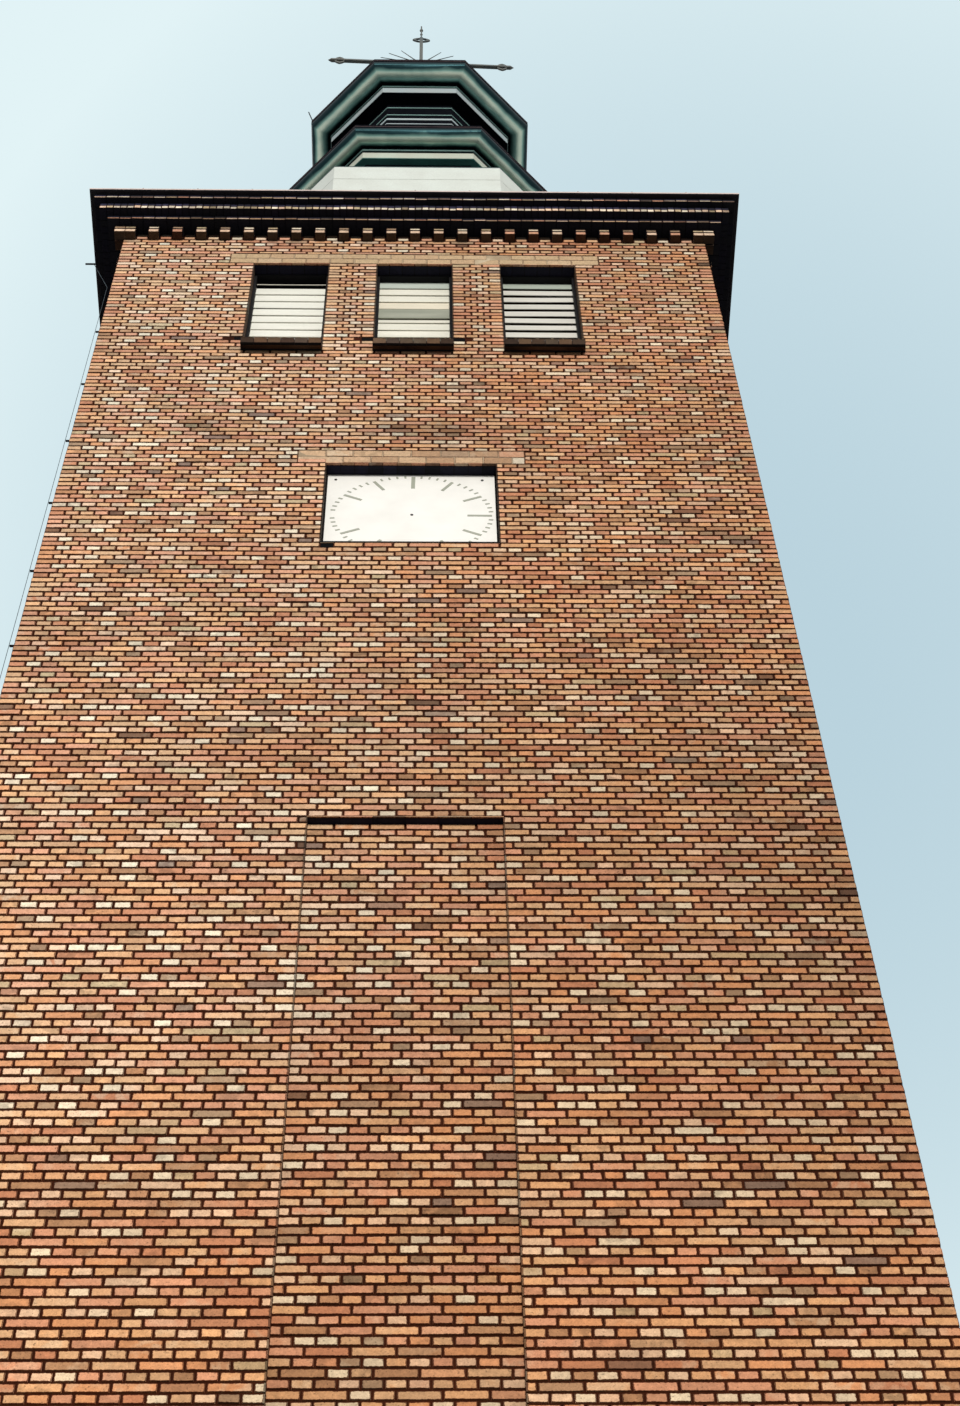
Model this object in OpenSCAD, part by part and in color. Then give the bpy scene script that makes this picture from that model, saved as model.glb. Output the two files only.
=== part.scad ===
// Brick clock tower with an octagonal timber lantern, as a scale model at half real size.
// Origin: centre of the tower's underside at ground level. +Z is up and the front faces -Y.

/* [Brickwork] */
// Centre to centre of two headers in a course, joint included
header_pitch = 65; // [60:1:70]
// Height of one course, joint included
course = 39; // [36:1:42]
// Head joint between two bricks
joint = 5; // [3:0.5:8]

/* [Shaft] */
// Width of the square shaft, in headers
shaft_headers = 49; // [47:2:55]
// Thickness of the walls, in headers
wall_headers = 5; // [4:1:6]
// Underside of the belfry window sills, in courses above the ground
sill_courses = 319; // [310:1:330]
// Underside of the dentils, in courses above the ground
dentil_courses = 355; // [354:1:362]

/* [Niche and doorway] */
// Width of the blind niche, in headers
niche_headers = 11; // [11:2:17]
// Top of the blind niche, in courses above the ground
niche_courses = 217; // [120:1:240]
// Depth of the blind niche
niche_depth = 32; // [20:1:50]
// Width of the doorway, in headers
door_headers = 9; // [7:2:11]
// Top of the doorway, in courses above the ground
door_courses = 30; // [28:1:40]
// Thickness of the ground floor
floor_t = 100; // [60:5:160]
// From the niche's back to the door frame
door_reveal = 60; // [20:5:110]
// Face width of the door frame
door_frame_w = 35; // [20:1:60]
// Depth of the door frame
door_frame_d = 50; // [30:1:70]
// Thickness of the door's boards
door_t = 25; // [15:1:30]

/* [Clock] */
// Width of the clock recess, in headers
clock_headers = 12; // [10:1:16]
// Sill of the clock recess, in courses above the ground
clock_sill_courses = 269; // [250:1:285]
// Height of the clock recess, in courses
clock_courses = 19; // [16:1:24]
// Depth of the clock recess
clock_depth = 60; // [30:1:90]
// Thickness of the dial plate
dial_t = 5; // [3:0.5:20]
// Gap between the dial plate and the sides of its recess
dial_gap = 4; // [0:0.5:10]

/* [Belfry windows] */
// Windows on each side
windows = 3; // [1:1:3]
// Width of one window
window_w = 405; // [330:5:430]
// Brick pier between two windows
pier_w = 255; // [255:5:330]
// Height from the underside of the sill to the lintel, in courses
window_courses = 28; // [22:1:29]
// From the wall face to the louvre frame
window_reveal = 62; // [40:1:90]
// Face width of the louvre frame
frame_w = 16; // [10:1:30]
// Depth of the louvre frame
frame_d = 70; // [55:1:90]
// Louvre boards in one window
boards = 12; // [8:1:13]
// Height of one board along its slope
board_h = 86; // [50:1:87]
// Thickness of one board
board_t = 6; // [5:1:16]
// Lean of the boards from the vertical
board_lean = 5; // [5:1:20]
// Slope of the sill bricks below the horizontal
sill_slope = 28; // [10:1:35]
// Reach of the sill past the wall face
sill_out = 40; // [15:1:60]
// Thickness of the sill bricks
sill_t = 32; // [20:1:40]

/* [Flat arches] */
// Height of a flat arch, the length of a brick
arch_h = 125; // [100:1:150]
// Depth of a flat arch into the wall
arch_d = 60; // [40:1:125]
// Reach of a flat arch past each side of its opening
arch_reach = 130; // [60:5:135]

/* [Cornice] */
// Height of the dentils, in courses
dentil_h_courses = 2; // [1:1:3]
// Reach of the dentils past the wall face
dentil_out = 50; // [40:1:80]
// Reach of the course above the dentils
lower_out = 93; // [85:1:110]
// Reach of the rowlock course
rowlock_out = 138; // [115:1:145]
// Height of the rowlock course
rowlock_h = 65; // [50:1:80]
// Reach of the top course
top_out = 172; // [150:1:180]
// Reach of the metal roof edge
edge_out = 202; // [185:1:230]
// Thickness of the metal roof edge
edge_t = 18; // [8:1:40]

/* [Floors and tower roof] */
// Thickness of the belfry floor
belfry_floor_t = 100; // [60:5:150]
// Thickness of the ceiling over the belfry
ceiling_t = 120; // [60:5:150]
// Pitch of the low roof round the lantern
roof_pitch = 20; // [12:1:26]
// Thickness of the low roof, measured upright
roof_t = 25; // [15:1:40]

/* [Lantern base] */
// Across the flats of the white base
base_af = 2490; // [2300:10:2530]
// Height of the white base above the belfry ceiling
base_h = 1800; // [1400:10:2000]
// Gap between the white base and the metal roof edge round it
base_gap = 15; // [5:1:40]
// Thickness of the lantern's timber walls
timber_t = 40; // [25:1:60]
// Rise of the skirt roof on top of the base
skirt_rise = 200; // [100:10:300]
// Edge thickness of the roof sheets
sheet_t = 14; // [8:1:25]

/* [Lower drum] */
// Across the flats of the lower drum
lower_af = 1700; // [1600:10:1760]
// Height of the lower drum
lower_h = 1080; // [900:1:1400]
// Reach of the white fascia past the drum
lower_fascia_out = 48; // [25:1:60]
// Reach of the copper cornice past the drum
lower_cornice_out = 176; // [150:1:200]
// Rise of the flared roof above the lower drum
lower_roof_rise = 620; // [400:10:800]

/* [Upper drum] */
// Across the flats of the upper drum
upper_af = 1138; // [1000:2:1200]
// Height of the upper drum
upper_h = 1072; // [700:1:1200]
// Reach of the white fascia past the drum
upper_fascia_out = 93; // [85:1:110]
// Reach of the copper cornice past the drum
upper_cornice_out = 250; // [240:1:280]
// Rise of the hood above the upper drum
hood_rise = 1000; // [800:10:1300]
// Across the flats of the hood's top, under the ball
hood_top_af = 84; // [60:2:120]
// Swell of the hood's curve, as a share of its half width
hood_swell = 0.08; // [0:0.01:0.12]

/* [Lantern mouldings] */
// Height of the white fascias
fascia_h = 94; // [60:1:130]
// Height of the dark fillet between a fascia and the copper roll
fillet_h = 52; // [30:1:80]
// Radius of the copper roll
roll_r = 70; // [50:1:80]
// Height of the upright edge above the copper roll
roll_edge_h = 60; // [30:1:90]
// Height of the dark fillet under the upper drum's roll
upper_fillet_h = 34; // [20:1:60]
// Radius of the upper drum's roll
upper_roll_r = 84; // [60:1:90]
// Height of the upright edge above the upper drum's roll
upper_roll_edge_h = 64; // [30:1:90]

/* [Finial] */
// Radius of the ball
ball_r = 105; // [70:1:140]
// Side of the square bars of the cross
bar = 28; // [16:1:40]
// Height of the crossing above the ball's centre
crossing_h = 1235; // [900:5:1500]
// From the crossing to the tip of an arm
arm_reach = 785; // [600:5:900]
// From the crossing to the top tip
top_reach = 1005; // [800:5:1100]
// From an arm's tip back to the middle of its almond ring
ring_back = 98; // [95:5:150]
// From the top tip down to the middle of the almond ring under it
top_ring_back = 385; // [300:5:450]
// Side of the square spike above that ring
spike_w = 12; // [6:1:20]
// Radius of the upper bead on the spike
spike_bead_r = 15; // [9:1:22]
// Length of an almond ring across its arm
ring_w = 150; // [110:1:190]
// Width of an almond ring along its arm
ring_l = 92; // [70:1:110]
// Width of the bar in an almond ring
ring_bar = 13; // [8:1:20]
// Length of the rays between the arms
ray_reach = 365; // [200:5:420]
// Thickness of the plates that the rays are cut from
ray_t = 6; // [3:1:10]
// Side of the blunt tips of the cross
tip_w = 3; // [1:1:8]
// Turn of the cross about its post
cross_turn = 2; // [-10:0.5:10]

/* [Lightning conductor] */
// Radius of the conductor wire
wire_r = 3; // [2:0.5:6]
// From the wall face to the wire's middle
wire_off = 45; // [25:1:70]
// From the front corner to the wire
wire_in = 65; // [40:1:120]
// Spacing of the clips
clip_pitch = 610; // [400:10:900]
// Side of a clip's square bar
clip_bar = 8; // [5:1:12]
// Radius of the soldered beads where the wire bends
bead_r = 4.8; // [4:0.2:9]
// From the top clip up to the bend where the wire leaves the wall
bend_rise = 560; // [50:10:600]
// From the wall wire back to the holder at the roof edge
holder_in = 175; // [60:5:300]
// Reach of the holder past the roof edge
holder_out = 56; // [20:1:90]
// Radius of the short rod on the upper eaves
rod_r = 4; // [3:0.5:8]
// Side of the square foot under the rod
rod_foot = 10; // [9:1:20]

/* [Hidden] */

shaft_w = shaft_headers * header_pitch - joint;
half = shaft_w / 2;
wall_t = wall_headers * header_pitch - joint;
inner = half - wall_t;
side_turns = [0, 180, 270, 90];

// How far a cut runs on past the face that it opens
cut = 1;

niche_w = niche_headers * header_pitch + joint;
niche_z = niche_courses * course;
door_w = door_headers * header_pitch + joint;
door_z = door_courses * course;
door_y = -half + niche_depth + door_reveal;

clock_w = clock_headers * header_pitch + joint;
clock_z = clock_sill_courses * course;
clock_h = clock_courses * course;

sill_z = sill_courses * course;
window_h = window_courses * course;
window_top = sill_z + window_h;
window_pitch = window_w + pier_w;
window_x = [for (i = [0 : windows - 1]) (i - (windows - 1) / 2) * window_pitch];
board_inset = window_reveal + frame_d / 2;
board_pitch = (window_h - 2 * frame_w) / boards;

dentil_z = dentil_courses * course;
lower_course_z = dentil_z + dentil_h_courses * course;
rowlock_z = lower_course_z + course;
top_course_z = rowlock_z + rowlock_h;
edge_z = top_course_z + course;
roof_z = edge_z + edge_t;
edge_half = half + edge_out;
dentil_w = header_pitch - joint;
dentil_pitch = 2 * header_pitch;

base_a = base_af / 2;
base_z = edge_z;
lower_z = base_z + base_h;
lower_a = lower_af / 2;
lower_fascia_z = lower_z + lower_h;
lower_fascia_a = lower_a + lower_fascia_out;
lower_eave_a = lower_a + lower_cornice_out;
lower_cornice_z = lower_fascia_z + fascia_h;
lower_roof_z = lower_cornice_z + fillet_h + roll_r + roll_edge_h;
upper_a = upper_af / 2;
upper_z = lower_roof_z + lower_roof_rise;
upper_fascia_z = upper_z + upper_h;
upper_fascia_a = upper_a + upper_fascia_out;
upper_eave_a = upper_a + upper_cornice_out;
upper_cornice_z = upper_fascia_z + fascia_h;
hood_z = upper_cornice_z + upper_fillet_h + upper_roll_r + upper_roll_edge_h;
hood_top_a = hood_top_af / 2;
ball_flat = sqrt(pow(ball_r, 2) - pow(hood_top_a, 2));
ball_z = hood_z + hood_rise + ball_flat;
cross_z = ball_z + crossing_h;
// Directions of the three rays in a corner of the cross, and half their width at the root, in degrees
ray_angles = [20, 41, 62];
ray_spread = 4;
// From the foot of the rod on the eaves to its tip
rod_lean = [-35, -15, 150];

brick_color = "#b5683f";
arch_color = "#c08a52";
timber_white = "#e6e2d6";
copper_color = "#2f4f45";
iron_color = "#4a4f50";

// Repeats its children, made for the front, on one side: 0 front, 1 back, 2 left, 3 right
module on_side(side) {
    rotate([0, 0, side_turns[side]]) children();
}

module on_all_sides() {
    for (side = [0 : 3]) on_side(side) children();
}

// A block on the front: width across X, from depth y0 to y1 behind the wall face
module front_block(w, y0, y1, z0, z1, x = 0) {
    translate([x - w / 2, -half + y0, z0]) cube([w, y1 - y0, z1 - z0]);
}

// A square ring of masonry or metal between the inner and outer half widths
module square_ring(outer, z0, h, hole = inner) {
    translate([0, 0, z0]) linear_extrude(h) difference() {
        square(2 * outer, center = true);
        square(2 * hole, center = true);
    }
}

// A flat arch with upright ends over openings that span a width w together
module flat_arch(w, z) {
    front_block(w + 2 * arch_reach, 0, arch_d, z, z + arch_h);
}

// A round bar between two points
module rod(p, q, r) {
    d = q - p;
    translate(p) rotate([0, acos(d[2] / norm(d)), atan2(d[1], d[0])])
        cylinder(r = r, h = norm(d), $fn = 24);
}

// A straight octagonal tube, measured to its flats
module octagon_tube(a, t, z0, h) {
    translate([0, 0, z0]) linear_extrude(h) difference() {
        rotate(22.5) circle(r = a / cos(22.5), $fn = 8);
        rotate(22.5) circle(r = (a - t) / cos(22.5), $fn = 8);
    }
}

// An octagonal ring swept from an anticlockwise outline of [distance to the flat, height]
module octagon_ring(outline) {
    n = len(outline);
    points = [for (p = outline, k = [0 : 7])
        [p[0] * cos(45 * k + 22.5) / cos(22.5), p[0] * sin(45 * k + 22.5) / cos(22.5), p[1]]];
    faces = [for (i = [0 : n - 1], k = [0 : 7]) let (j = (i + 1) % n, l = (k + 1) % 8)
        [8 * i + k, 8 * j + k, 8 * j + l, 8 * i + l]];
    polyhedron(points, faces, convexity = 6);
}

// Shaft walls

module niche(with_door) {
    front_block(niche_w, -cut, niche_depth, -cut, niche_z);
    if (with_door) front_block(door_w, 0, wall_t + cut, -cut, door_z);
}

module clock_recess() {
    front_block(clock_w, -cut, clock_depth, clock_z, clock_z + clock_h);
    flat_arch(clock_w, clock_z + clock_h);
}

module shaft_wall(w, with_door = false) {
    color(brick_color) difference() {
        front_block(w, 0, wall_t, 0, sill_z);
        niche(with_door);
        clock_recess();
        if (with_door) door_arch();
    }
}

// The doorway's flat arch stands in the back of the niche and ends at the niche's sides
module door_arch() {
    translate([0, niche_depth, 0]) intersection() {
        flat_arch(door_w, door_z);
        front_block(niche_w, 0, arch_d, door_z, door_z + arch_h);
    }
}

module front_wall() {
    on_side(0) shaft_wall(shaft_w, true);
}

module back_wall() {
    on_side(1) shaft_wall(shaft_w);
}

module left_wall() {
    on_side(2) shaft_wall(2 * inner);
}

module right_wall() {
    on_side(3) shaft_wall(2 * inner);
}

// Belfry walls, with their windows cut through

// One flat arch runs over all the windows of a side and the piers between them
module belfry_arch() {
    flat_arch((windows - 1) * window_pitch + window_w, window_top);
}

module belfry_wall(w) {
    color(brick_color) difference() {
        front_block(w, 0, wall_t, sill_z, lower_course_z);
        for (x = window_x)
            front_block(window_w, -cut, wall_t + cut, sill_z - cut, window_top, x);
        belfry_arch();
    }
}

module belfry_wall_front() {
    on_side(0) belfry_wall(shaft_w);
}

module belfry_wall_back() {
    on_side(1) belfry_wall(shaft_w);
}

module belfry_wall_left() {
    on_side(2) belfry_wall(2 * inner);
}

module belfry_wall_right() {
    on_side(3) belfry_wall(2 * inner);
}

// Ground floor and doorway

module ground_floor() {
    color("#9a958c") translate([-inner, -inner, 0]) cube([2 * inner, 2 * inner, floor_t]);
}

module door_threshold() {
    color("#8f8a80") front_block(door_w, 0, wall_t, 0, floor_t);
}

module door_frame() {
    y0 = niche_depth + door_reveal;
    color("#5b4632") difference() {
        front_block(door_w, y0, y0 + door_frame_d, floor_t, door_z);
        front_block(door_w - 2 * door_frame_w, y0 - cut, y0 + door_frame_d + cut,
            floor_t - cut, door_z - door_frame_w);
    }
}

module entrance_door() {
    y0 = niche_depth + door_reveal + (door_frame_d - door_t) / 2;
    color("#6b5138")
        front_block(door_w - 2 * door_frame_w, y0, y0 + door_t, floor_t, door_z - door_frame_w);
}

module door_lintel() {
    color(arch_color) door_arch();
}

// Clock

module clock_lintels() {
    color(arch_color) on_all_sides() flat_arch(clock_w, clock_z + clock_h);
}

module clock_dial() {
    color("#efece2") front_block(clock_w - 2 * dial_gap, clock_depth - dial_t, clock_depth,
        clock_z + dial_gap, clock_z + clock_h - dial_gap);
}

module clock_dial_front() {
    on_side(0) clock_dial();
}

module clock_dial_back() {
    on_side(1) clock_dial();
}

module clock_dial_left() {
    on_side(2) clock_dial();
}

module clock_dial_right() {
    on_side(3) clock_dial();
}

// Belfry floor, sills, flat arches and louvres

module belfry_floor() {
    color("#8a7a62") translate([-inner, -inner, sill_z - belfry_floor_t])
        cube([2 * inner, 2 * inner, belfry_floor_t]);
}

// Sloping bricks, from their nose in front of the wall back to the louvre frame
module belfry_sill() {
    nose = [sill_out, -sill_out * tan(sill_slope)];
    lip = nose + sill_t * [sin(sill_slope), cos(sill_slope)];
    back = -window_reveal;
    rise = (lip[0] - back) * tan(sill_slope);
    translate([window_w / 2, -half, sill_z]) rotate([0, 0, 180]) rotate([90, 0, 90])
        linear_extrude(window_w)
        polygon([[0, 0], nose, lip, [back, lip[1] + rise], [back, 0]]);
}

module belfry_sills() {
    color("#7c4a38") on_all_sides() for (x = window_x) translate([x, 0, 0]) belfry_sill();
}

module belfry_lintels() {
    color(arch_color) on_all_sides() belfry_arch();
}

module louvre_frame(x) {
    y0 = window_reveal;
    difference() {
        front_block(window_w, y0, y0 + frame_d, sill_z, window_top, x);
        front_block(window_w - 2 * frame_w, y0 - cut, y0 + frame_d + cut,
            sill_z + frame_w, window_top - frame_w, x);
    }
}

module louvre_frames() {
    color("#4b4238") on_all_sides() for (x = window_x) louvre_frame(x);
}

// Boards lean like weatherboarding: each foot stands in front of the next board's head
module window_boards(x) {
    w = window_w - 2 * frame_w;
    for (i = [0 : boards - 1])
        translate([x - w / 2, -half + board_inset, sill_z + frame_w + (i + 0.5) * board_pitch])
            rotate([-board_lean, 0, 0])
            translate([0, -board_t / 2, -board_h / 2]) cube([w, board_t, board_h]);
}

module louvre_boards() {
    color(timber_white) for (x = window_x) window_boards(x);
}

module louvre_boards_front() {
    on_side(0) louvre_boards();
}

module louvre_boards_back() {
    on_side(1) louvre_boards();
}

module louvre_boards_left() {
    on_side(2) louvre_boards();
}

module louvre_boards_right() {
    on_side(3) louvre_boards();
}

// Cornice

// Single dentils between the corners, centred on the side
module side_dentils() {
    reach = floor((half - joint - dentil_w / 2) / dentil_pitch);
    for (i = [-reach : reach])
        front_block(dentil_w, -dentil_out, 0, dentil_z, lower_course_z, i * dentil_pitch);
}

// A corner dentil wraps round the corner
module corner_dentils() {
    for (quarter = [0 : 3]) rotate([0, 0, 90 * quarter])
        translate([half, half, dentil_z]) linear_extrude(lower_course_z - dentil_z) difference() {
            translate([-dentil_w, -dentil_w]) square(dentil_w + dentil_out);
            translate([-dentil_w - cut, -dentil_w - cut]) square(dentil_w + cut);
        }
}

module cornice_dentils() {
    color(brick_color) {
        on_all_sides() side_dentils();
        corner_dentils();
    }
}

module cornice_lower_course() {
    color(brick_color) square_ring(half + lower_out, lower_course_z, course);
}

module cornice_rowlock() {
    color("#7a4a3c") square_ring(half + rowlock_out, rowlock_z, rowlock_h);
}

module cornice_top_course() {
    color(brick_color) square_ring(half + top_out, top_course_z, course);
}

// Ceiling, roof edge and the low roof round the lantern

module belfry_ceiling() {
    color("#8a7a62") translate([-inner, -inner, edge_z - ceiling_t])
        cube([2 * inner, 2 * inner, ceiling_t]);
}

module roof_edge() {
    color("#3a3230") square_ring(edge_half, edge_z, edge_t, base_a + base_gap);
}

module roof_pyramid() {
    rotate([0, 0, 45])
        cylinder(r1 = edge_half * sqrt(2), r2 = 0, h = edge_half * tan(roof_pitch), $fn = 4);
}

module tower_roof() {
    color("#5a3b33") difference() {
        translate([0, 0, roof_z]) roof_pyramid();
        translate([0, 0, roof_z - roof_t]) roof_pyramid();
        translate([0, 0, base_z]) rotate([0, 0, 22.5])
            cylinder(r = base_a / cos(22.5), h = base_h, $fn = 8);
    }
}

// Lantern

module lantern_base() {
    color(timber_white) octagon_tube(base_a, timber_t, base_z, base_h);
}

module lantern_skirt_roof() {
    color(copper_color) octagon_ring([[lower_a, lower_z], [base_a, lower_z],
        [base_a, lower_z + sheet_t], [lower_a, lower_z + skirt_rise]]);
}

// Outline of a copper roll over its dark fillet, carried on the drum's wall head
function roll_outline(wall_a, fascia_a, eave_a, z, fillet, r, edge, steps = 7) =
    let (c = eave_a - r, zc = z + fillet + r) concat(
        [[wall_a - timber_t, z], [fascia_a, z], [fascia_a, z + fillet]],
        [for (i = [0 : steps]) let (a = 225 + 135 * i / steps)
            [c + r * cos(a), zc + r * sin(a)]],
        [[eave_a, zc + edge], [wall_a - timber_t, zc + edge]]);

// Outline of a roof shell from its eave to its top, following a rising curve
function roof_outline(curve, t) = concat(
    curve, [for (i = [len(curve) - 1 : -1 : 0]) [curve[i][0] - t, curve[i][1]]]);

function flared_curve(a0, a1, z0, rise, steps = 8) =
    [for (i = [0 : steps]) let (s = i / steps) [a0 + (a1 - a0) * s, z0 + rise * pow(s, 2)]];

function hood_curve(a0, a1, z0, rise, steps = 12) =
    [for (i = [0 : steps]) let (s = i / steps)
        [a1 + (a0 - a1) * (1 - s + hood_swell * sin(360 * s)), z0 + rise * s]];

module lower_drum() {
    color(copper_color) octagon_tube(lower_a, timber_t, lower_z, lower_cornice_z - lower_z);
}

module lower_fascia() {
    color(timber_white) octagon_tube(lower_fascia_a, lower_fascia_out, lower_fascia_z, fascia_h);
}

module lower_cornice() {
    color(copper_color)
        octagon_ring(roll_outline(lower_a, lower_fascia_a, lower_eave_a, lower_cornice_z,
            fillet_h, roll_r, roll_edge_h));
}

module lower_roof() {
    color(copper_color) octagon_ring(roof_outline(
        flared_curve(lower_eave_a - sheet_t, upper_a, lower_roof_z, lower_roof_rise), timber_t));
}

module upper_drum() {
    color(copper_color) octagon_tube(upper_a, timber_t, upper_z, upper_cornice_z - upper_z);
}

module upper_fascia() {
    color(timber_white) octagon_tube(upper_fascia_a, upper_fascia_out, upper_fascia_z, fascia_h);
}

module upper_cornice() {
    color(copper_color)
        octagon_ring(roll_outline(upper_a, upper_fascia_a, upper_eave_a, upper_cornice_z,
            upper_fillet_h, upper_roll_r, upper_roll_edge_h));
}

module hood_roof() {
    color(copper_color) octagon_ring(roof_outline(
        hood_curve(upper_eave_a - sheet_t, hood_top_a, hood_z, hood_rise), hood_top_a / 2));
}

// Ball and cross

module finial_ball() {
    color("#8d7a3a") translate([0, 0, ball_z]) intersection() {
        sphere(r = ball_r, $fn = 48);
        cube([3 * ball_r, 3 * ball_r, 2 * ball_flat], center = true);
    }
}

// An almond ring lying across its arm, with its tips to both sides
module almond(w, l, t) {
    r = (pow(w, 2) + pow(l, 2)) / (4 * l);
    rotate([90, 0, 0]) translate([0, 0, -t / 2]) intersection() {
        translate([0, r - l / 2, 0]) cylinder(r = r, h = t, $fn = 96);
        translate([0, l / 2 - r, 0]) cylinder(r = r, h = t, $fn = 96);
    }
}

module almond_ring() {
    difference() {
        almond(ring_w, ring_l, bar / 2);
        almond(ring_w - 4 * ring_bar, ring_l - 2 * ring_bar, bar);
    }
}

module cross_arm(reach) {
    translate([-bar / 2, -bar / 2, 0]) cube([bar, bar, reach - bar]);
    translate([0, 0, reach - bar]) rotate([0, 0, 45])
        cylinder(r1 = bar / sqrt(2), r2 = tip_w / sqrt(2), h = bar, $fn = 4);
    translate([0, 0, reach - ring_back]) almond_ring();
}

// The upright ends in a thin spike with two beads above its ring
module cross_top() {
    ring_z = top_reach - top_ring_back;
    translate([-bar / 2, -bar / 2, 0]) cube([bar, bar, ring_z + ring_l / 2]);
    translate([0, 0, ring_z]) almond_ring();
    translate([-spike_w / 2, -spike_w / 2, ring_z]) cube([spike_w, spike_w, top_ring_back - bar]);
    translate([0, 0, top_reach - bar]) rotate([0, 0, 45])
        cylinder(r1 = spike_w / sqrt(2), r2 = tip_w / sqrt(2), h = bar, $fn = 4);
    translate([0, 0, ring_z + 0.68 * top_ring_back]) sphere(r = spike_bead_r, $fn = 24);
    translate([0, 0, ring_z + 0.4 * top_ring_back]) sphere(r = 0.75 * spike_bead_r, $fn = 24);
}

module finial_cross() {
    color(iron_color) translate([0, 0, cross_z]) rotate([0, 0, cross_turn]) {
        cross_top();
        rotate([0, 90, 0]) cross_arm(arm_reach);
        rotate([0, -90, 0]) cross_arm(arm_reach);
        translate([-bar / 2, -bar / 2, ball_flat - crossing_h])
            cube([bar, bar, crossing_h - ball_flat]);
    }
}

function polar(r, a) = [r * cos(a), r * sin(a)];

// Three flat pointed rays on one plate, set into a corner of the crossing
module corner_rays() {
    b = bar / 2;
    root = b / sin(ray_angles[0] - 2 * ray_spread);
    rotate([90, 0, 0]) translate([0, 0, -ray_t / 2]) linear_extrude(ray_t)
        polygon(concat([[b, b], [root, b]],
            [for (a = ray_angles, p = [[root, -ray_spread], [ray_reach, 0], [root, ray_spread]])
                polar(p[0], a + p[1])],
            [[b, root]]));
}

module finial_rays() {
    color(iron_color) translate([0, 0, cross_z]) rotate([0, 0, cross_turn])
        for (level = [0, 180], side = [0, 180]) rotate([level, 0, side]) corner_rays();
}

// Lightning conductor on the left side, near the front corner

wire_x = -half - wire_off;
wire_y = -half + wire_in;
top_clip_z = sill_z + 9 * course;
clip_count = floor(top_clip_z / clip_pitch);
clip_z = [for (i = [0 : clip_count - 1]) top_clip_z - i * clip_pitch];
bend_z = top_clip_z + bend_rise;
holder_y = wire_y + holder_in;
holder_z = edge_z + wire_r;
eaves_x = -edge_half - 2 * wire_r;

module conductor_wire() {
    color(iron_color) {
        rod([wire_x, wire_y, 2 * wire_r], [wire_x, wire_y, bend_z], wire_r);
        translate([wire_x, wire_y, bend_z]) sphere(r = bead_r, $fn = 24);
        rod([wire_x, wire_y, bend_z], [eaves_x, holder_y, edge_z - edge_t], wire_r);
        translate([eaves_x, holder_y, edge_z - edge_t]) sphere(r = bead_r, $fn = 24);
        rod([eaves_x, holder_y, edge_z - edge_t], [eaves_x, holder_y, holder_z], wire_r);
    }
}

module conductor_clips() {
    reach = wire_off - wire_r;
    color(iron_color) {
        for (z = clip_z) translate([-half - reach, wire_y - clip_bar / 2, z - clip_bar / 2])
            cube([reach, clip_bar, clip_bar]);
        translate([-edge_half - holder_out, holder_y - clip_bar / 2, holder_z])
            cube([holder_out, clip_bar, clip_bar]);
    }
}

module eaves_rod() {
    a = upper_eave_a - sheet_t / 2;
    foot = [-a, -a * tan(22.5), hood_z];
    color(iron_color) {
        translate(foot + [0, 0, rod_r]) cube([rod_foot, rod_foot, 2 * rod_r], center = true);
        rod(foot + [0, 0, rod_r], foot + rod_lean, rod_r);
    }
}

ground_floor();
door_threshold();
door_frame();
entrance_door();
door_lintel();
front_wall();
back_wall();
left_wall();
right_wall();
belfry_wall_front();
belfry_wall_back();
belfry_wall_left();
belfry_wall_right();
clock_lintels();
clock_dial_front();
clock_dial_back();
clock_dial_left();
clock_dial_right();
belfry_floor();
belfry_sills();
belfry_lintels();
louvre_frames();
louvre_boards_front();
louvre_boards_back();
louvre_boards_left();
louvre_boards_right();
cornice_dentils();
cornice_lower_course();
cornice_rowlock();
cornice_top_course();
belfry_ceiling();
roof_edge();
tower_roof();
lantern_base();
lantern_skirt_roof();
lower_drum();
lower_fascia();
lower_cornice();
lower_roof();
upper_drum();
upper_fascia();
upper_cornice();
hood_roof();
finial_ball();
finial_cross();
finial_rays();
conductor_wire();
conductor_clips();
eaves_rod();
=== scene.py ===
"""Looks of a brick clock tower, a half size model: facing bricks, louvres, dial, lantern and cross."""

import math

import bpy
import numpy as np
from bpy.props import FloatProperty, FloatVectorProperty, IntProperty, PointerProperty
from mathutils import Matrix, Vector


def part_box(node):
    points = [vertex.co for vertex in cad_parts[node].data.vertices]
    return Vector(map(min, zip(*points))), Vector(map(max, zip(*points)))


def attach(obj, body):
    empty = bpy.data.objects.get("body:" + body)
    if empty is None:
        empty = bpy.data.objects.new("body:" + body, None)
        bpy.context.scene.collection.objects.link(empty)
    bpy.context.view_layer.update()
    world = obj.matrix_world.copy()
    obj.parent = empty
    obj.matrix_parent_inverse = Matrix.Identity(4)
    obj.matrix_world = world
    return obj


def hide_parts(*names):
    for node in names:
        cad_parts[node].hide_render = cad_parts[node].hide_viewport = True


bl_info = {
    "name": "Brick clock tower",
    "version": (1, 0, 0),
    "blender": (4, 5, 0),
    "location": "3D View > Sidebar > Clock tower",
    "description": "Dresses the solids of a brick clock tower with bricks, boards and sheet metal",
    "category": "Object",
}

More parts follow.
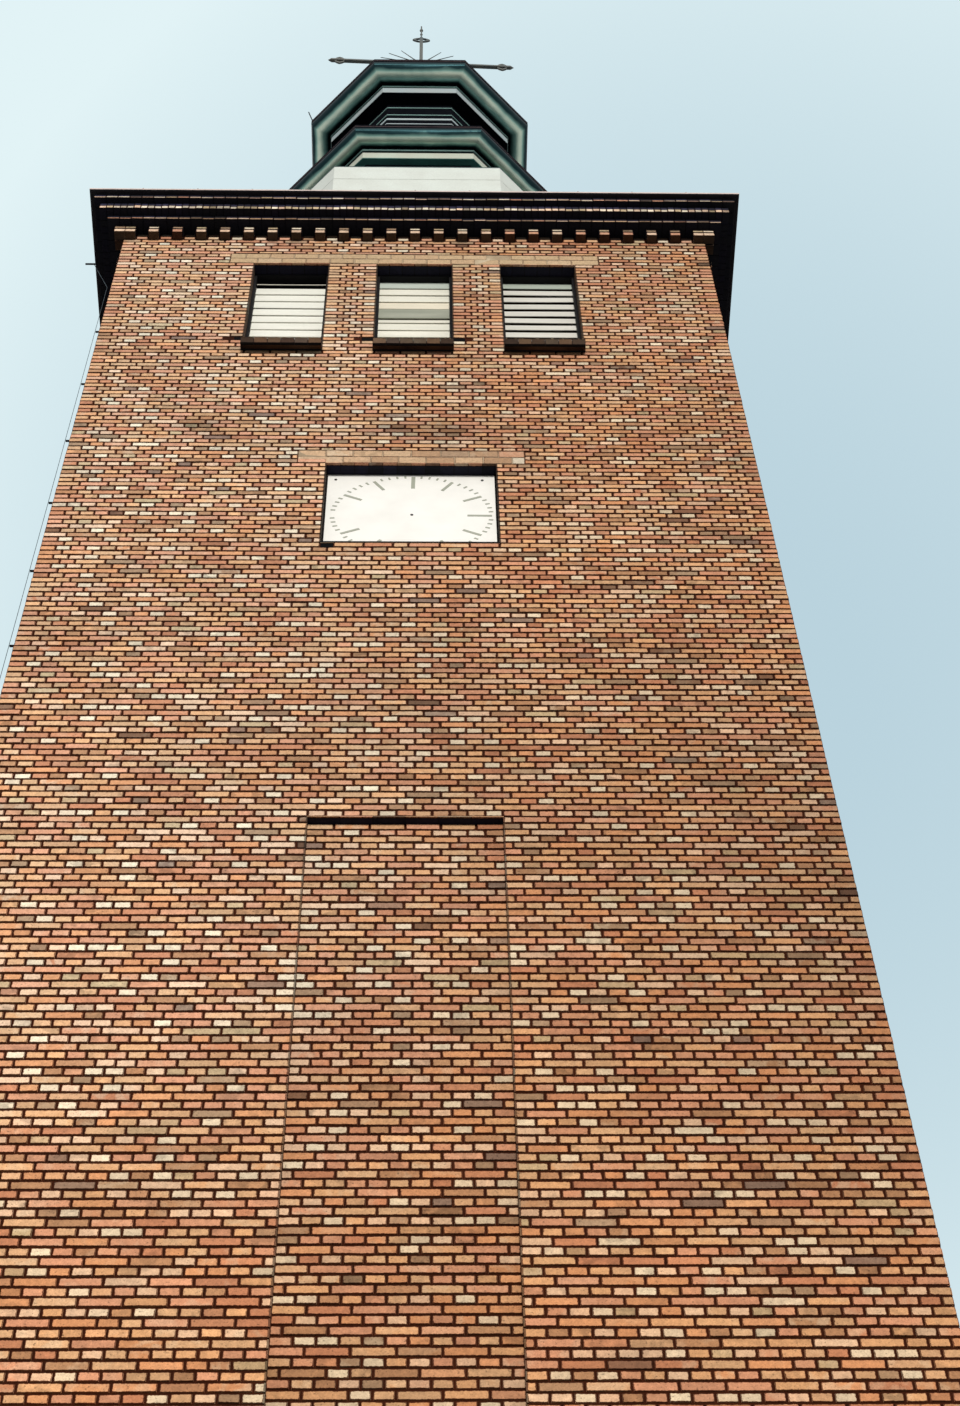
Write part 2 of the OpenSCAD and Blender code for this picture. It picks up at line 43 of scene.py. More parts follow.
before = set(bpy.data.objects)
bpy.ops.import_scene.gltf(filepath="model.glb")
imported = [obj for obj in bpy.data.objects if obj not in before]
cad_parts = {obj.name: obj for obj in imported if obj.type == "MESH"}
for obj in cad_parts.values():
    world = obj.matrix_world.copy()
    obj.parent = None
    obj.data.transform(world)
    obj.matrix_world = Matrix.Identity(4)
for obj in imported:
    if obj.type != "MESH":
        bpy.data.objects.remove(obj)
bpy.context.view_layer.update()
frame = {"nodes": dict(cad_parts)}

# The sides go round anticlockwise, seen from above, and share a corner with the next
SIDES = ("front", "right", "back", "left")
TURNS = (0, 90, 180, 270)

# Places that the solids already fix, in metres
HALF = -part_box("front_wall")[0].y
SILL_Z, DENTIL_Z, LOWER_COURSE_Z, ROWLOCK_Z, TOP_COURSE_Z = [
    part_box(node)[0].z for node in ("belfry_wall_front", "cornice_dentils", "cornice_lower_course",
                                   "cornice_rowlock", "cornice_top_course")]
EDGE_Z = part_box("roof_edge")[0].z
EDGE_HALF, _, ROOF_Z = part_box("roof_edge")[1]
BASE_A, _, LOWER_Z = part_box("lantern_base")[1]
DIAL_LOW, DIAL_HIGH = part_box("clock_dial_front")


def hex_colour(code):
    """An sRGB hex value as linear red, green, blue and alpha"""
    parts = [int(code[i:i + 2], 16) / 255 for i in (1, 3, 5)]
    return tuple(p / 12.92 if p <= 0.04045 else ((p + 0.055) / 1.055) ** 2.4 for p in parts) + (1,)


def length(name, description, default):
    """A length in metres that a user may change"""
    return FloatProperty(name=name, description=description, default=default, min=0, unit="LENGTH")


def colour(name, description, code):
    """A colour that a user may change, from its sRGB hex value"""
    return FloatVectorProperty(name=name, description=description, subtype="COLOR", size=4,
                               min=0, max=1, default=hex_colour(code))


def share(name, description, default):
    """A share from nothing to all that a user may change"""
    return FloatProperty(name=name, description=description, default=default, min=0, max=1,
                         subtype="FACTOR")


def strength(name, description, default):
    """The strength of a light, which a user may change"""
    return FloatProperty(name=name, description=description, default=default, min=0)


class BrickworkSettings(bpy.types.PropertyGroup):
    """Bond, joints and fired colours of the facing bricks"""

    header_pitch: length("Header pitch", "Centre to centre of two headers in a course", 0.065)
    course: length("Course", "Height of one course, joint included", 0.039)
    head_joint: length("Head joint", "Width of the upright joints", 0.0060)
    bed_joint: length("Bed joint", "Height of the level joints", 0.0071)
    proud: length("Proud", "How far the bricks stand out of the raked mortar", 0.0045)
    draft: length("Draft", "How much a worn face is narrower than its brick, on each edge", 0.0014)
    unevenness: length("Unevenness", "Typical error of a brick's ends and face", 0.0007)
    split: share("Split stretchers", "Share of the stretchers laid as two headers", 0.04)
    seed: IntProperty(name="Seed", description="Number that sets every chance in the brickwork",
                      default=11, min=0)
    cream: colour("Cream", "Palest fired colour", "#eee2c9")
    pink_cream: colour("Pink cream", "Pale pinkish fired colour", "#eecfb2")
    tan: colour("Tan", "Sandy fired colour", "#dcb58e")
    orange_tan: colour("Orange tan", "Warm sandy fired colour", "#e6b689")
    orange: colour("Orange", "Clear orange fired colour", "#dda276")
    salmon: colour("Salmon", "Pinkish orange fired colour", "#dba384")
    red: colour("Red", "Brick red fired colour", "#ca8d6c")
    brown: colour("Brown", "Brown fired colour", "#ba8f6c")
    grey_brown: colour("Grey brown", "Overfired grey brown", "#a68c72")
    purple_grey: colour("Purple grey", "Overfired purple grey", "#8f786b")
    dark: colour("Dark", "Burnt, nearly black brick", "#6d5241")
    olive: colour("Olive", "Greenish grey tan from overfiring", "#cab692")
    arch: colour("Arch", "Brownish tan of limed flat arches", "#c1a682")
    mortar: colour("Mortar", "Dirty raked mortar", "#3f1a08")
    pale_mortar: colour("Pale mortar", "Flush mortar of the flat arches", "#c9b79a")


# Shares of each fired colour among the short faces and among the long faces
FIRED_SHARES = {
    "cream": (0.15, 0.006),
    "pink_cream": (0.17, 0.045),
    "tan": (0.15, 0.15),
    "orange_tan": (0.13, 0.16),
    "orange": (0.09, 0.15),
    "salmon": (0.14, 0.22),
    "red": (0.07, 0.13),
    "brown": (0.06, 0.085),
    "grey_brown": (0.02, 0.03),
    "purple_grey": (0.006, 0.01),
    "dark": (0.004, 0.005),
    "olive": (0.02, 0.02),
}


class OpeningSettings(bpy.types.PropertyGroup):
    """Places of the niche, the clock recess and the belfry windows, as the solids have them"""

    niche_half: length("Niche half width", "Half the width of the blind niche", 0.36)
    niche_top: length("Niche top", "Height of the blind niche's head", 8.463)
    niche_depth: length("Niche depth", "Depth of the blind niche", 0.032)
    door_half: length("Door half width", "Half the width of the doorway", 0.295)
    door_top: length("Door top", "Height of the doorway's head", 1.17)
    clock_half: length("Clock half width", "Half the width of the clock recess", 0.3925)
    clock_sill: length("Clock sill", "Height of the clock recess's sill", 10.491)
    clock_top: length("Clock top", "Height of the clock recess's head", 11.232)
    clock_depth: length("Clock depth", "Depth of the clock recess", 0.055)
    window_half: length("Window half width", "Half the width of a belfry window", 0.2025)
    window_pitch: length("Window pitch", "Centre to centre of two belfry windows", 0.66)
    window_top: length("Window top", "Height of the belfry windows' heads", 13.533)
    window_depth: length("Window depth", "From the wall face to the louvre frame", 0.062)
    arch_h: length("Flat arch height", "Height of the flat arches", 0.125)
    arch_reach: length("Flat arch reach", "Reach of a flat arch past each side", 0.13)


class DialSettings(bpy.types.PropertyGroup):
    """Marks and colours of the clock dial"""

    outer: length("Outer radius", "Outer end of the hour bars", 0.3595)
    inner: length("Inner radius", "Inner end of the hour bars", 0.266)
    long_inner: length("Long inner radius", "Inner end of the bars at twelve and three", 0.249)
    bar_w: length("Bar width", "Width of an hour bar", 0.0145)
    twelve_w: length("Twelve width", "Width of the bar at twelve", 0.018)
    tick: length("Minute tick", "Length of a minute tick", 0.021)
    tick_w: length("Tick width", "Width of a minute tick", 0.009)
    drop: length("Drop", "From the plate's middle down to the dial's centre", 0.0125)
    shift: length("Shift", "From the plate's middle right to the dial's centre", 0.005)
    turn: FloatProperty(name="Turn", description="Clockwise turn of the marks, in degrees", default=0.8)
    plate: colour("Plate", "Vitreous enamel of the plate", "#fbf9f2")
    marks: colour("Marks", "Grey enamel of the bars and ticks", "#a2a595")


class LouvreSettings(bpy.types.PropertyGroup):
    """Boards and frames in the belfry windows"""

    board_t: length("Board thickness", "Thickness of one board", 0.005)
    stain: colour("Stain", "Green grey algae and dirt on the paint", "#7f8474")
    frame: colour("Frame", "Weathered frame timber", "#0e0d0f")


class CorniceSettings(bpy.types.PropertyGroup):
    """Brick courses of the cornice and the metal roof edge"""

    dentil_out: length("Dentil reach", "Reach of the dentils past the wall face", 0.050)
    lower_out: length("Lower reach", "Reach of the course above the dentils", 0.093)
    rowlock_out: length("Rowlock reach", "Reach of the rowlock course", 0.138)
    top_out: length("Top reach", "Reach of the top course", 0.172)
    rowlock_pitch: length("Rowlock pitch", "Centre to centre of two rowlock bricks", 0.0375)
    # Nearly black: painted shade on the roof edge's underside, which is most of what shows of it
    edge: colour("Edge", "Sooty painted steel of the roof edge", "#0d0b12")
    lip: colour("Lip", "Weathered zinc lip on the roof edge", "#e3cfc6")
    roof: colour("Roof", "Red brown painted steel roof", "#6a3d30")


class LanternSettings(bpy.types.PropertyGroup):
    """Boards, copper and white trim of the lantern"""

    board: length("Board", "Height of one board of the white base", 0.2)
    seam_pitch: length("Seam pitch", "Centre to centre of two standing seams", 0.3)
    white: colour("White", "White painted boards", "#d9e0d8")
    copper: colour("Copper", "Dark patinated copper", "#102d31")
    # The green and khaki towards a roll's belly are a painted highlight, where the lit ground would shine
    # in the copper
    rubbed: colour("Rubbed copper", "Green copper towards the belly of a roll", "#86b0a6")
    crest: colour("Crest", "Pale khaki oxide along the belly of a roll", "#d9e6d3")
    drum: colour("Drum", "Nearly black copper of the drums", "#06070d")
    lower_trim: colour("Lower trim", "White paint of the lower fascia", "#c1cabb")
    upper_trim: colour("Upper trim", "White paint of the upper fascia and its rails", "#a4b6bb")
    soffit: colour("Soffit", "Green boards in the shade of the lower fascia", "#5aa69e")
    line: colour("Line", "Pale green grey lead of the thin mouldings", "#7fa6a0")
    lip: colour("Lip", "Pinkish zinc of the eaves' edges", "#5a3f42")


class IronSettings(bpy.types.PropertyGroup):
    """Cross, ball and the small ironwork"""

    iron: colour("Iron", "Grey green painted wrought iron", "#4a5557")
    ball: colour("Ball", "Dulled brass of the ball", "#8a7440")
    steel: colour("Steel", "Galvanised steel of the wire", "#3d484f")


class TimberSettings(bpy.types.PropertyGroup):
    """Door, floors and threshold"""

    door: colour("Door", "Oiled larch boards", "#6b4a31")
    door_frame: colour("Door frame", "Oiled larch frame", "#553a27")
    sawn: colour("Sawn timber", "Sawn pine gone grey", "#8f7a5e")
    concrete: colour("Concrete", "Cast concrete", "#a39f96")
    board: length("Door board", "Width of one door board", 0.07)


class StudioSettings(bpy.types.PropertyGroup):
    """Floor, background and lights"""

    floor: colour("Floor", "Pale floor", "#dcdedd")
    backdrop: colour("Backdrop", "Pale background behind the tower", "#bad3de")
    haze: colour("Haze", "Palest part of the background", "#e2f3f6")
    sky: strength("Sky", "Strength of the soft light from all round", 0.55)
    sun: strength("Sun", "Strength of the soft main lamp", 2.7)
    fill: strength("Fill", "Strength of the lamp behind", 0.9)


SETTINGS = {
    "tower_brickwork": BrickworkSettings,
    "tower_openings": OpeningSettings,
    "tower_dial": DialSettings,
    "tower_louvres": LouvreSettings,
    "tower_cornice": CorniceSettings,
    "tower_lantern": LanternSettings,
    "tower_iron": IronSettings,
    "tower_timber": TimberSettings,
    "tower_studio": StudioSettings,
}


# Places and meshes

def on_side(side, points):
    """Points given as right, up and out from a side's wall face, in the row frame"""
    points = np.asarray(points, float)
    x, y = points[..., 0], -(HALF + points[..., 2])
    turn = math.radians(TURNS[side])
    c, s = round(math.cos(turn)), round(math.sin(turn))
    return np.stack([x * c - y * s, x * s + y * c, points[..., 1]], axis=-1)


def add_object(name, data):
    """A new object in the scene"""
    item = bpy.data.objects.new(name, data)
    bpy.context.scene.collection.objects.link(item)
    return item


def new_piece(name, vertices, faces, slot, *materials, smooth=False):
    """A mesh piece that rides on the tower and takes its finish from the given materials. The slot is not
    used.
    """
    mesh = bpy.data.meshes.new(name)
    mesh.from_pydata([tuple(v) for v in vertices], [], [tuple(f) for f in faces])
    mesh.validate()
    for material in materials:
        mesh.materials.append(material)
    if smooth:
        mesh.polygons.foreach_set("use_smooth", [True] * len(mesh.polygons))
    piece = add_object(name, mesh)
    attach(piece, "root")
    return piece


BLOCK_FACES = np.array([(0, 1, 2, 3), (7, 6, 5, 4), (0, 4, 5, 1), (1, 5, 6, 2), (2, 6, 7, 3),
                        (3, 7, 4, 0)])


def note(mesh, name, kind, domain, values):
    """Keeps an attribute in the mesh"""
    field = {"FLOAT": "value", "FLOAT_COLOR": "color", "FLOAT_VECTOR": "vector"}[kind]
    layer = mesh.attributes.new(name, kind, domain)
    layer.data.foreach_set(field, np.asarray(values, np.float32).ravel())


# Share of a brick's own colour kept under the painted shadow that the cornice's overhangs throw
OVERHANG_SHADOW = 0.045

# Where less than this share is left, the painted shade covers the ends of a brick too
SHADED_ENDS = 0.1

# Measures that differ by less than this are the same
NEARLY = 0.001


def upright(left, right, foot, head, out):
    """Corners of an upright rectangle on a side, anticlockwise as seen from outside"""
    return [(left, foot, out), (right, foot, out), (right, head, out), (left, head, out)]


def level(left, right, z, first, last):
    """Corners of a level rectangle on a side, from its first edge to its last one"""
    return [(left, z, first), (right, z, first), (right, z, last), (left, z, last)]


def painted_shade(colours, share):
    """Rows of body and flash colours darkened to a bluish black painted shade, which keeps only a share
    of them
    """
    pairs = np.reshape(colours, (-1, 2, 3))
    bluish = pairs.mean(axis=2, keepdims=True) * np.array([0.9, 0.85, 1.9])
    return bluish.reshape(-1, 6) * share


class Blocks:
    """Six-sided blocks that are joined into one piece, each with its own fired colour"""

    def __init__(self):
        self.corners = []
        self.fired = []
        self.under = []

    def add(self, side, near, far, fired=None, under=0.4):
        """Blocks by four corners of the near face, anticlockwise as seen, and four behind them

        Undersides keep only a share of the fired colour: painted shade, as little light reaches them.
        """
        near, far = np.asarray(near, float), np.asarray(far, float)
        corners = np.concatenate([near, far], axis=-2).reshape(-1, 8, 3)
        self.corners.append(on_side(side, corners))
        count = len(corners)
        self.fired.append(np.zeros((count, 8)) if fired is None else np.reshape(fired, (count, 8)))
        self.under.append(np.full(count, under))

    def add_slab(self, side, left, right, foot, head, out, back, fired=None, under=0.4):
        """A block between two upright rectangles, the face at out and the other at back"""
        self.add(side, upright(left, right, foot, head, out), upright(left, right, foot, head, back),
                 fired, under)

    def build(self, name, slot, material):
        """Joins the blocks into a piece. A fired colour is body, flash, flash amount and seed."""
        corners = np.concatenate(self.corners)
        fired = np.concatenate(self.fired)
        count = len(corners)
        faces = (BLOCK_FACES[None] + 8 * np.arange(count)[:, None, None]).reshape(-1, 4)
        piece = new_piece(name, corners.reshape(-1, 3), faces.tolist(), slot, material)
        per_face = np.repeat(fired, 6, axis=0)
        under = np.concatenate(self.under)[:, None]
        # Where little of the colour is left, the painted shade covers a brick's ends too
        for face in (2, 3, 5):
            clean = per_face[face::6, :6]
            other = clean * under if face == 2 else clean
            per_face[face::6, :6] = np.where(under < SHADED_ENDS, painted_shade(clean, under), other)
        for attribute, first in (("fired_body", 0), ("fired_flash", 3)):
            rgba = np.ones((6 * count, 4))
            rgba[:, :3] = per_face[:, first:first + 3]
            note(piece.data, attribute, "FLOAT_COLOR", "FACE", rgba)
        note(piece.data, "flash_share", "FLOAT", "FACE", per_face[:, 6])
        note(piece.data, "brick_seed", "FLOAT", "FACE", per_face[:, 7])
        self.note_places(piece.data, corners)
        return piece

    @staticmethod
    def note_places(mesh, corners):
        """Notes the half size of each near face, and where on it each of its corners lies"""
        count = len(corners)
        edge = np.linalg.norm(np.roll(corners[:, :4], -1, axis=1) - corners[:, :4], axis=2)
        half_size = np.ones((count, 6, 3))
        half_size[:, 0, 0] = (edge[:, 0] + edge[:, 2]) / 4
        half_size[:, 0, 1] = (edge[:, 1] + edge[:, 3]) / 4
        place = np.zeros((count, 6, 4, 3))
        place[:, 0, :, 0] = half_size[:, 0, :1] * np.array([-1, 1, 1, -1])
        place[:, 0, :, 1] = half_size[:, 0, 1:2] * np.array([-1, -1, 1, 1])
        note(mesh, "face_half", "FLOAT_VECTOR", "FACE", half_size)
        note(mesh, "face_place", "FLOAT_VECTOR", "CORNER", place)


def ring(outline, corners):
    """Vertices and faces of a ring swept round a regular polygon from [distance, height] points"""
    n = len(outline)
    half_angle = math.pi / corners
    vertices, faces = [], []
    for k in range(corners):
        a = 2 * half_angle * (k + 0.5)
        for d, z in outline:
            r = d / math.cos(half_angle)
            vertices.append((r * math.cos(a), r * math.sin(a), z))
    for k in range(corners):
        following = (k + 1) % corners
        for i in range(n):
            j = (i + 1) % n
            faces.append((n * k + i, n * following + i, n * following + j, n * k + j))
    return vertices, faces


def band(inner, outer, low, high):
    """A flat band round the octagon"""
    return ring([(inner, low), (outer, low), (outer, high), (inner, high)], 8)


def tube(points, radius, around=8):
    """Vertices and faces of a round bar along points"""
    points = [Vector(p) for p in points]
    vertices, faces = [], []
    for i, p in enumerate(points):
        before = points[max(i - 1, 0)]
        after = points[min(i + 1, len(points) - 1)]
        along = (after - before).normalized()
        side = along.cross(Vector((0, 0, 1)) if abs(along.z) < 0.9 else Vector((1, 0, 0))).normalized()
        up = side.cross(along)
        for k in range(around):
            a = 2 * math.pi * k / around
            vertices.append(p + radius * (math.cos(a) * side + math.sin(a) * up))
    for i in range(len(points) - 1):
        for k in range(around):
            a, b = i * around + k, i * around + (k + 1) % around
            faces.append((a, b, b + around, a + around))
    faces.append(tuple(reversed(range(around))))
    last = (len(points) - 1) * around
    faces.append(tuple(range(last, last + around)))
    return vertices, faces


def join_shapes(shapes):
    """Several (vertices, faces) shapes as one"""
    vertices, faces = [], []
    for more_vertices, more_faces in shapes:
        start = len(vertices)
        vertices.extend(more_vertices)
        faces.extend(tuple(start + i for i in face) for face in more_faces)
    return vertices, faces


def place_node(names, material):
    """Gives CAD nodes, which stay as they are, the finish of the real thing"""
    for name in names:
        mesh = frame["nodes"][name].data
        mesh.materials.clear()
        mesh.materials.append(material)


# Materials

def feed(tree, node, inputs):
    """Links the inputs that are given as sockets, and sets the others"""
    for key, value in inputs.items():
        if isinstance(value, bpy.types.NodeSocket):
            tree.links.new(value, node.inputs[key])
        else:
            node.inputs[key].default_value = value


def add_node(tree, kind, inputs=None, **settings):
    """Adds a node with its settings and inputs"""
    node = tree.nodes.new(kind)
    for key, value in settings.items():
        setattr(node, key, value)
    feed(tree, node, inputs or {})
    return node


def scale_for(millimetres):
    """Texture scale at which one feature is about this wide"""
    return 1000 / millimetres


def shared(name, maker, *values, **settings):
    """A material made once, by a maker that dresses its nodes, for every piece with this finish

    Colours come as hex values or as a user's settings.
    """
    if name not in bpy.data.materials:
        material = bpy.data.materials.new(name)
        material.use_nodes = True
        where = add_node(material.node_tree, "ShaderNodeTexCoord").outputs["Object"]
        values = [hex_colour(value) if isinstance(value, str) else value for value in values]
        maker(material.node_tree, where, *values, **settings)
    return bpy.data.materials[name]


def noise_between(tree, where, millimetres, low, high, detail=3.0, **inputs):
    """Noise at a real size, stretched to run from low to high"""
    noise = add_node(tree, "ShaderNodeTexNoise", {"Vector": where, "Scale": scale_for(millimetres),
                                                  "Detail": detail})
    return add_node(tree, "ShaderNodeMapRange", {"Value": noise.outputs["Fac"], "From Min": 0.3,
                                                 "From Max": 0.7, "To Min": low, "To Max": high,
                                                 **inputs}).outputs["Result"]


def tinted(tree, colours, *patterns):
    """A share mixes two colours, given as (share, first, second), and each pattern is multiplied on"""
    part, first, second = colours
    tint = add_node(tree, "ShaderNodeMix", {0: part, 6: first, 7: second}, data_type="RGBA").outputs[2]
    return multiplied(tree, tint, *patterns)


def multiplied(tree, tint, *patterns):
    """A colour with patterns multiplied on it, one after another"""
    for pattern in patterns:
        tint = add_node(tree, "ShaderNodeMix", {0: 1.0, 6: tint, 7: pattern}, data_type="RGBA",
                        blend_type="MULTIPLY").outputs[2]
    return tint


def dress(tree, tint, height, millimetres, strength=1.0, **inputs):
    """Gives the shader its colour, relief of a real depth, and its inputs, such as Roughness"""
    bump = add_node(tree, "ShaderNodeBump", {"Height": height, "Strength": strength,
                                             "Distance": millimetres / 1000})
    feed(tree, tree.nodes["Principled BSDF"], {"Base Color": tint, "Normal": bump.outputs["Normal"],
                                               **inputs})


def facing_brick(tree, where):
    """Wire-cut facing brick, unevenly fired: each brick its own colour, with flashes and fine sand"""
    body, flash, amount, seed = [
        add_node(tree, "ShaderNodeAttribute", attribute_name=attribute).outputs[output]
        for attribute, output in (("fired_body", "Color"), ("fired_flash", "Color"),
                                  ("flash_share", "Fac"), ("brick_seed", "Fac"))]
    # A flash covers part of a brick, so its patches are about half a header wide
    patches = add_node(tree, "ShaderNodeTexNoise", {"Vector": where, "W": seed, "Detail": 1.5,
                                                    "Scale": scale_for(55), "Distortion": 0.6},
                       noise_dimensions="4D")
    edge = add_node(tree, "ShaderNodeMapRange", {"Value": patches.outputs["Fac"], "From Min": 0.44,
                                                 "From Max": 0.6}, interpolation_type="SMOOTHSTEP")
    covered = add_node(tree, "ShaderNodeMath", {0: edge.outputs["Result"], 1: amount},
                       operation="MULTIPLY").outputs["Value"]
    # Sand and drag marks of the cutting wire, 5 mm apart so that they show
    sand = noise_between(tree, where, 5, 0.84, 1.14)
    # Uneven firing skin, and pits where lumps broke out
    skin = noise_between(tree, where, 17, 0.88, 1.12, detail=2.0)
    pits = noise_between(tree, where, 8, 1, 0.45, **{"From Min": 0.62, "From Max": 0.74})
    # Soot and lime bloom spread over several courses
    weather = noise_between(tree, where, 700, 0.9, 1.08, detail=5.0)
    worn = tinted(tree, (covered, body, flash), sand, skin, pits, weather)
    # The rounded edges are painted dark and reddish: painted shade where they turn into the joints
    arris = broken_arris(tree, where, radius=0.0043, wear=0.0026)
    edges = tinted(tree, (arris, (1, 1, 1, 1), (0.15, 0.06, 0.03, 1)))
    dress(tree, multiplied(tree, worn, edges), sand, 0.5, 0.6, Roughness=0.88,
          **{"Specular IOR Level": 0.2})


def broken_arris(tree, where, radius, wear):
    """From 0 on a brick's face to 1 at its rounded, uneven edges"""
    vector, half = [add_node(tree, "ShaderNodeAttribute", attribute_name=name).outputs["Vector"]
                    for name in ("face_place", "face_half")]
    for operation, other in (("ABSOLUTE", None), ("SUBTRACT", half), ("ADD", (radius, radius, -1)),
                             ("MAXIMUM", (0, 0, 0))):
        inputs = {0: vector} if other is None else {0: vector, 1: other}
        vector = add_node(tree, "ShaderNodeVectorMath", inputs, operation=operation).outputs["Vector"]
    reach = add_node(tree, "ShaderNodeVectorMath", {0: vector}, operation="LENGTH").outputs["Value"]
    chips = noise_between(tree, where, 9, -0.5 * wear, 0.5 * wear, detail=2.0)
    uneven = add_node(tree, "ShaderNodeMath", {0: reach, 1: chips}, operation="ADD").outputs["Value"]
    return add_node(tree, "ShaderNodeMapRange", {"Value": uneven, "From Min": radius - wear,
                                                 "From Max": radius - 0.2 * wear},
                    interpolation_type="SMOOTHSTEP").outputs["Result"]


def mortar(tree, where, base, dark):
    """Lime and cement mortar, raked or struck flush: coarse sand, dirtier in patches"""
    dirt = noise_between(tree, where, 160, 0, 1, detail=4.0)
    grit = noise_between(tree, where, 4, 0.8, 1.15)
    dress(tree, tinted(tree, (dirt, base, dark), grit), grit, 0.8, Roughness=0.95,
          **{"Specular IOR Level": 0.1})


def painted_timber(tree, where, paint, stain, roughness=0.6, run=(1, 1, 1), stained=0.35):
    """Planed boards under old oil paint: chalky, with dirt in runs and faint grain below"""
    along = add_node(tree, "ShaderNodeMapping", {"Vector": where, "Scale": run}).outputs["Vector"]
    grain = noise_between(tree, along, 6, 0.93, 1.05, detail=4.0)
    dirt = noise_between(tree, along, 120, 0, stained, detail=5.0)
    dress(tree, tinted(tree, (dirt, paint, stain), grain), grain, 0.4, Roughness=roughness)


def bare_timber(tree, where, tint, run, roughness=0.7):
    """Sawn or oiled softwood: grain lines about 5 mm apart along the boards, worn in patches"""
    along = add_node(tree, "ShaderNodeMapping", {"Vector": where, "Scale": run}).outputs["Vector"]
    grain = noise_between(tree, along, 5, 0.7, 1.2, detail=6.0)
    wear = noise_between(tree, where, 200, 0.8, 1.1)
    dress(tree, multiplied(tree, tint, grain, wear), grain, 0.6, Roughness=roughness,
          **{"Specular IOR Level": 0.15})


def mallet_dents(tree, where):
    """Dents that a mallet left in the sheet, about 40 mm across"""
    return noise_between(tree, where, 40, 0, 1, detail=1.0)


def sheet_metal(tree, where, tint, pale, roughness=0.4, metallic=0.0, specular=0.5):
    """Hand-dressed sheet under patina or paint: dark, soft gloss, paler oxide in vertical runs"""
    runs = add_node(tree, "ShaderNodeMapping", {"Vector": where, "Scale": (1, 1, 0.25)})
    oxide = noise_between(tree, runs.outputs["Vector"], 90, 0, 0.35, detail=5.0)
    worn = noise_between(tree, where, 60, roughness - 0.06, roughness + 0.14)
    dress(tree, tinted(tree, (oxide, tint, pale)), mallet_dents(tree, where), 0.8, 0.5,
          Roughness=worn, Metallic=metallic, **{"Specular IOR Level": specular})


def rolled_copper(tree, where, dark, rubbed, crest):
    """Copper roll with a painted highlight: greener towards its belly, and pale khaki along the middle"""
    sheen_share = add_node(tree, "ShaderNodeAttribute", attribute_name="rubbed").outputs["Fac"]
    patches = noise_between(tree, where, 140, -0.12, 0.12, detail=4.0)
    uneven = add_node(tree, "ShaderNodeMath", {0: sheen_share, 1: patches}, operation="ADD").outputs["Value"]
    green, pale = [add_node(tree, "ShaderNodeMapRange", {"Value": uneven, "From Min": least,
                                                         "From Max": most}).outputs["Result"]
                   for least, most in ((0.1, 0.7), (0.6, 1.05))]
    body = tinted(tree, (green, dark, rubbed))
    dress(tree, tinted(tree, (pale, body, crest)), mallet_dents(tree, where), 0.8, 0.5,
          Roughness=0.38, Metallic=0.85)


def enamel(tree, where, tint, roughness):
    """Vitreous enamel on steel: smooth, glossy, faint orange peel and rain dust"""
    dust = noise_between(tree, where, 150, 0.93, 1.02, detail=5.0)
    peel = noise_between(tree, where, 8, 0, 1)
    dress(tree, multiplied(tree, tint, dust), peel, 0.1, 0.4, Roughness=roughness, IOR=1.55)


def cast_concrete(tree, where, tint):
    """Cast concrete: matt, fine aggregate and water marks"""
    stones = noise_between(tree, where, 9, 0.85, 1.1)
    marks = noise_between(tree, where, 250, 0.85, 1.08, detail=5.0)
    dress(tree, multiplied(tree, tint, stones, marks), stones, 0.8, Roughness=0.9)


def seen_by(tree, *kinds):
    """1 for rays of the given kinds and 0 for the light's other rays"""
    rays = add_node(tree, "ShaderNodeLightPath").outputs
    seen = rays[kinds[0]]
    for kind in kinds[1:]:
        seen = add_node(tree, "ShaderNodeMath", {0: seen, 1: rays[kind]},
                        operation="MAXIMUM").outputs["Value"]
    return seen


# Brickwork

# Numbers that keep the chances of each group of bricks apart
CHANCES = {"corners": 1, "shaft": 10, "belfry": 110, "reveals": 200, "flat arches": 300,
           "door arch": 310, "sills": 320, "cornice": 400}


class Kiln:
    """Draws fired colours for bricks, the same ones on each run"""

    def __init__(self, bricks, group, side=0):
        self.chance = np.random.default_rng([bricks.seed, CHANCES[group] + side])
        self.names = list(FIRED_SHARES)
        self.palette = np.array([getattr(bricks, name)[:3] for name in self.names])
        self.shares = np.array(list(FIRED_SHARES.values())).T
        self.shares = self.shares / self.shares.sum(axis=1, keepdims=True)

    def fire(self, count, long_face=None, names=None):
        """Rows of body colour, flash colour, flash amount and seed for a number of bricks"""
        if names is not None:
            picked = np.array([self.names.index(name) for name in names])
        else:
            short = self.chance.choice(len(self.names), count, p=self.shares[0])
            long = self.chance.choice(len(self.names), count, p=self.shares[1])
            picked = np.where(np.broadcast_to(long_face, count), long, short)
        # Bricks of one colour still differ, and a flash on them is either pale or dark
        body = self.palette[picked]
        other = self.palette[self.chance.choice(len(self.names), count, p=self.shares[1])]
        drift = self.chance.uniform(0, 0.22, (count, 1))
        body = body * (1 - drift) + other * drift
        body = body * np.exp(self.chance.normal(0, 0.07, (count, 1)))
        pale = self.chance.random((count, 1)) < 0.45
        flash = np.where(pale, body * 0.6 + self.palette[0] * 0.4, body * 0.6)
        amount = np.clip(self.chance.normal(0.3, 0.3, (count, 1)), 0, 0.9)
        seed = self.chance.uniform(0, 90, (count, 1))
        return np.concatenate([np.clip(body, 0, 1), flash, amount, seed], axis=1)

    def fire_one(self, names):
        """One brick in a colour drawn from some names"""
        return self.fire(1, names=[names[int(self.chance.integers(len(names)))]])[0]


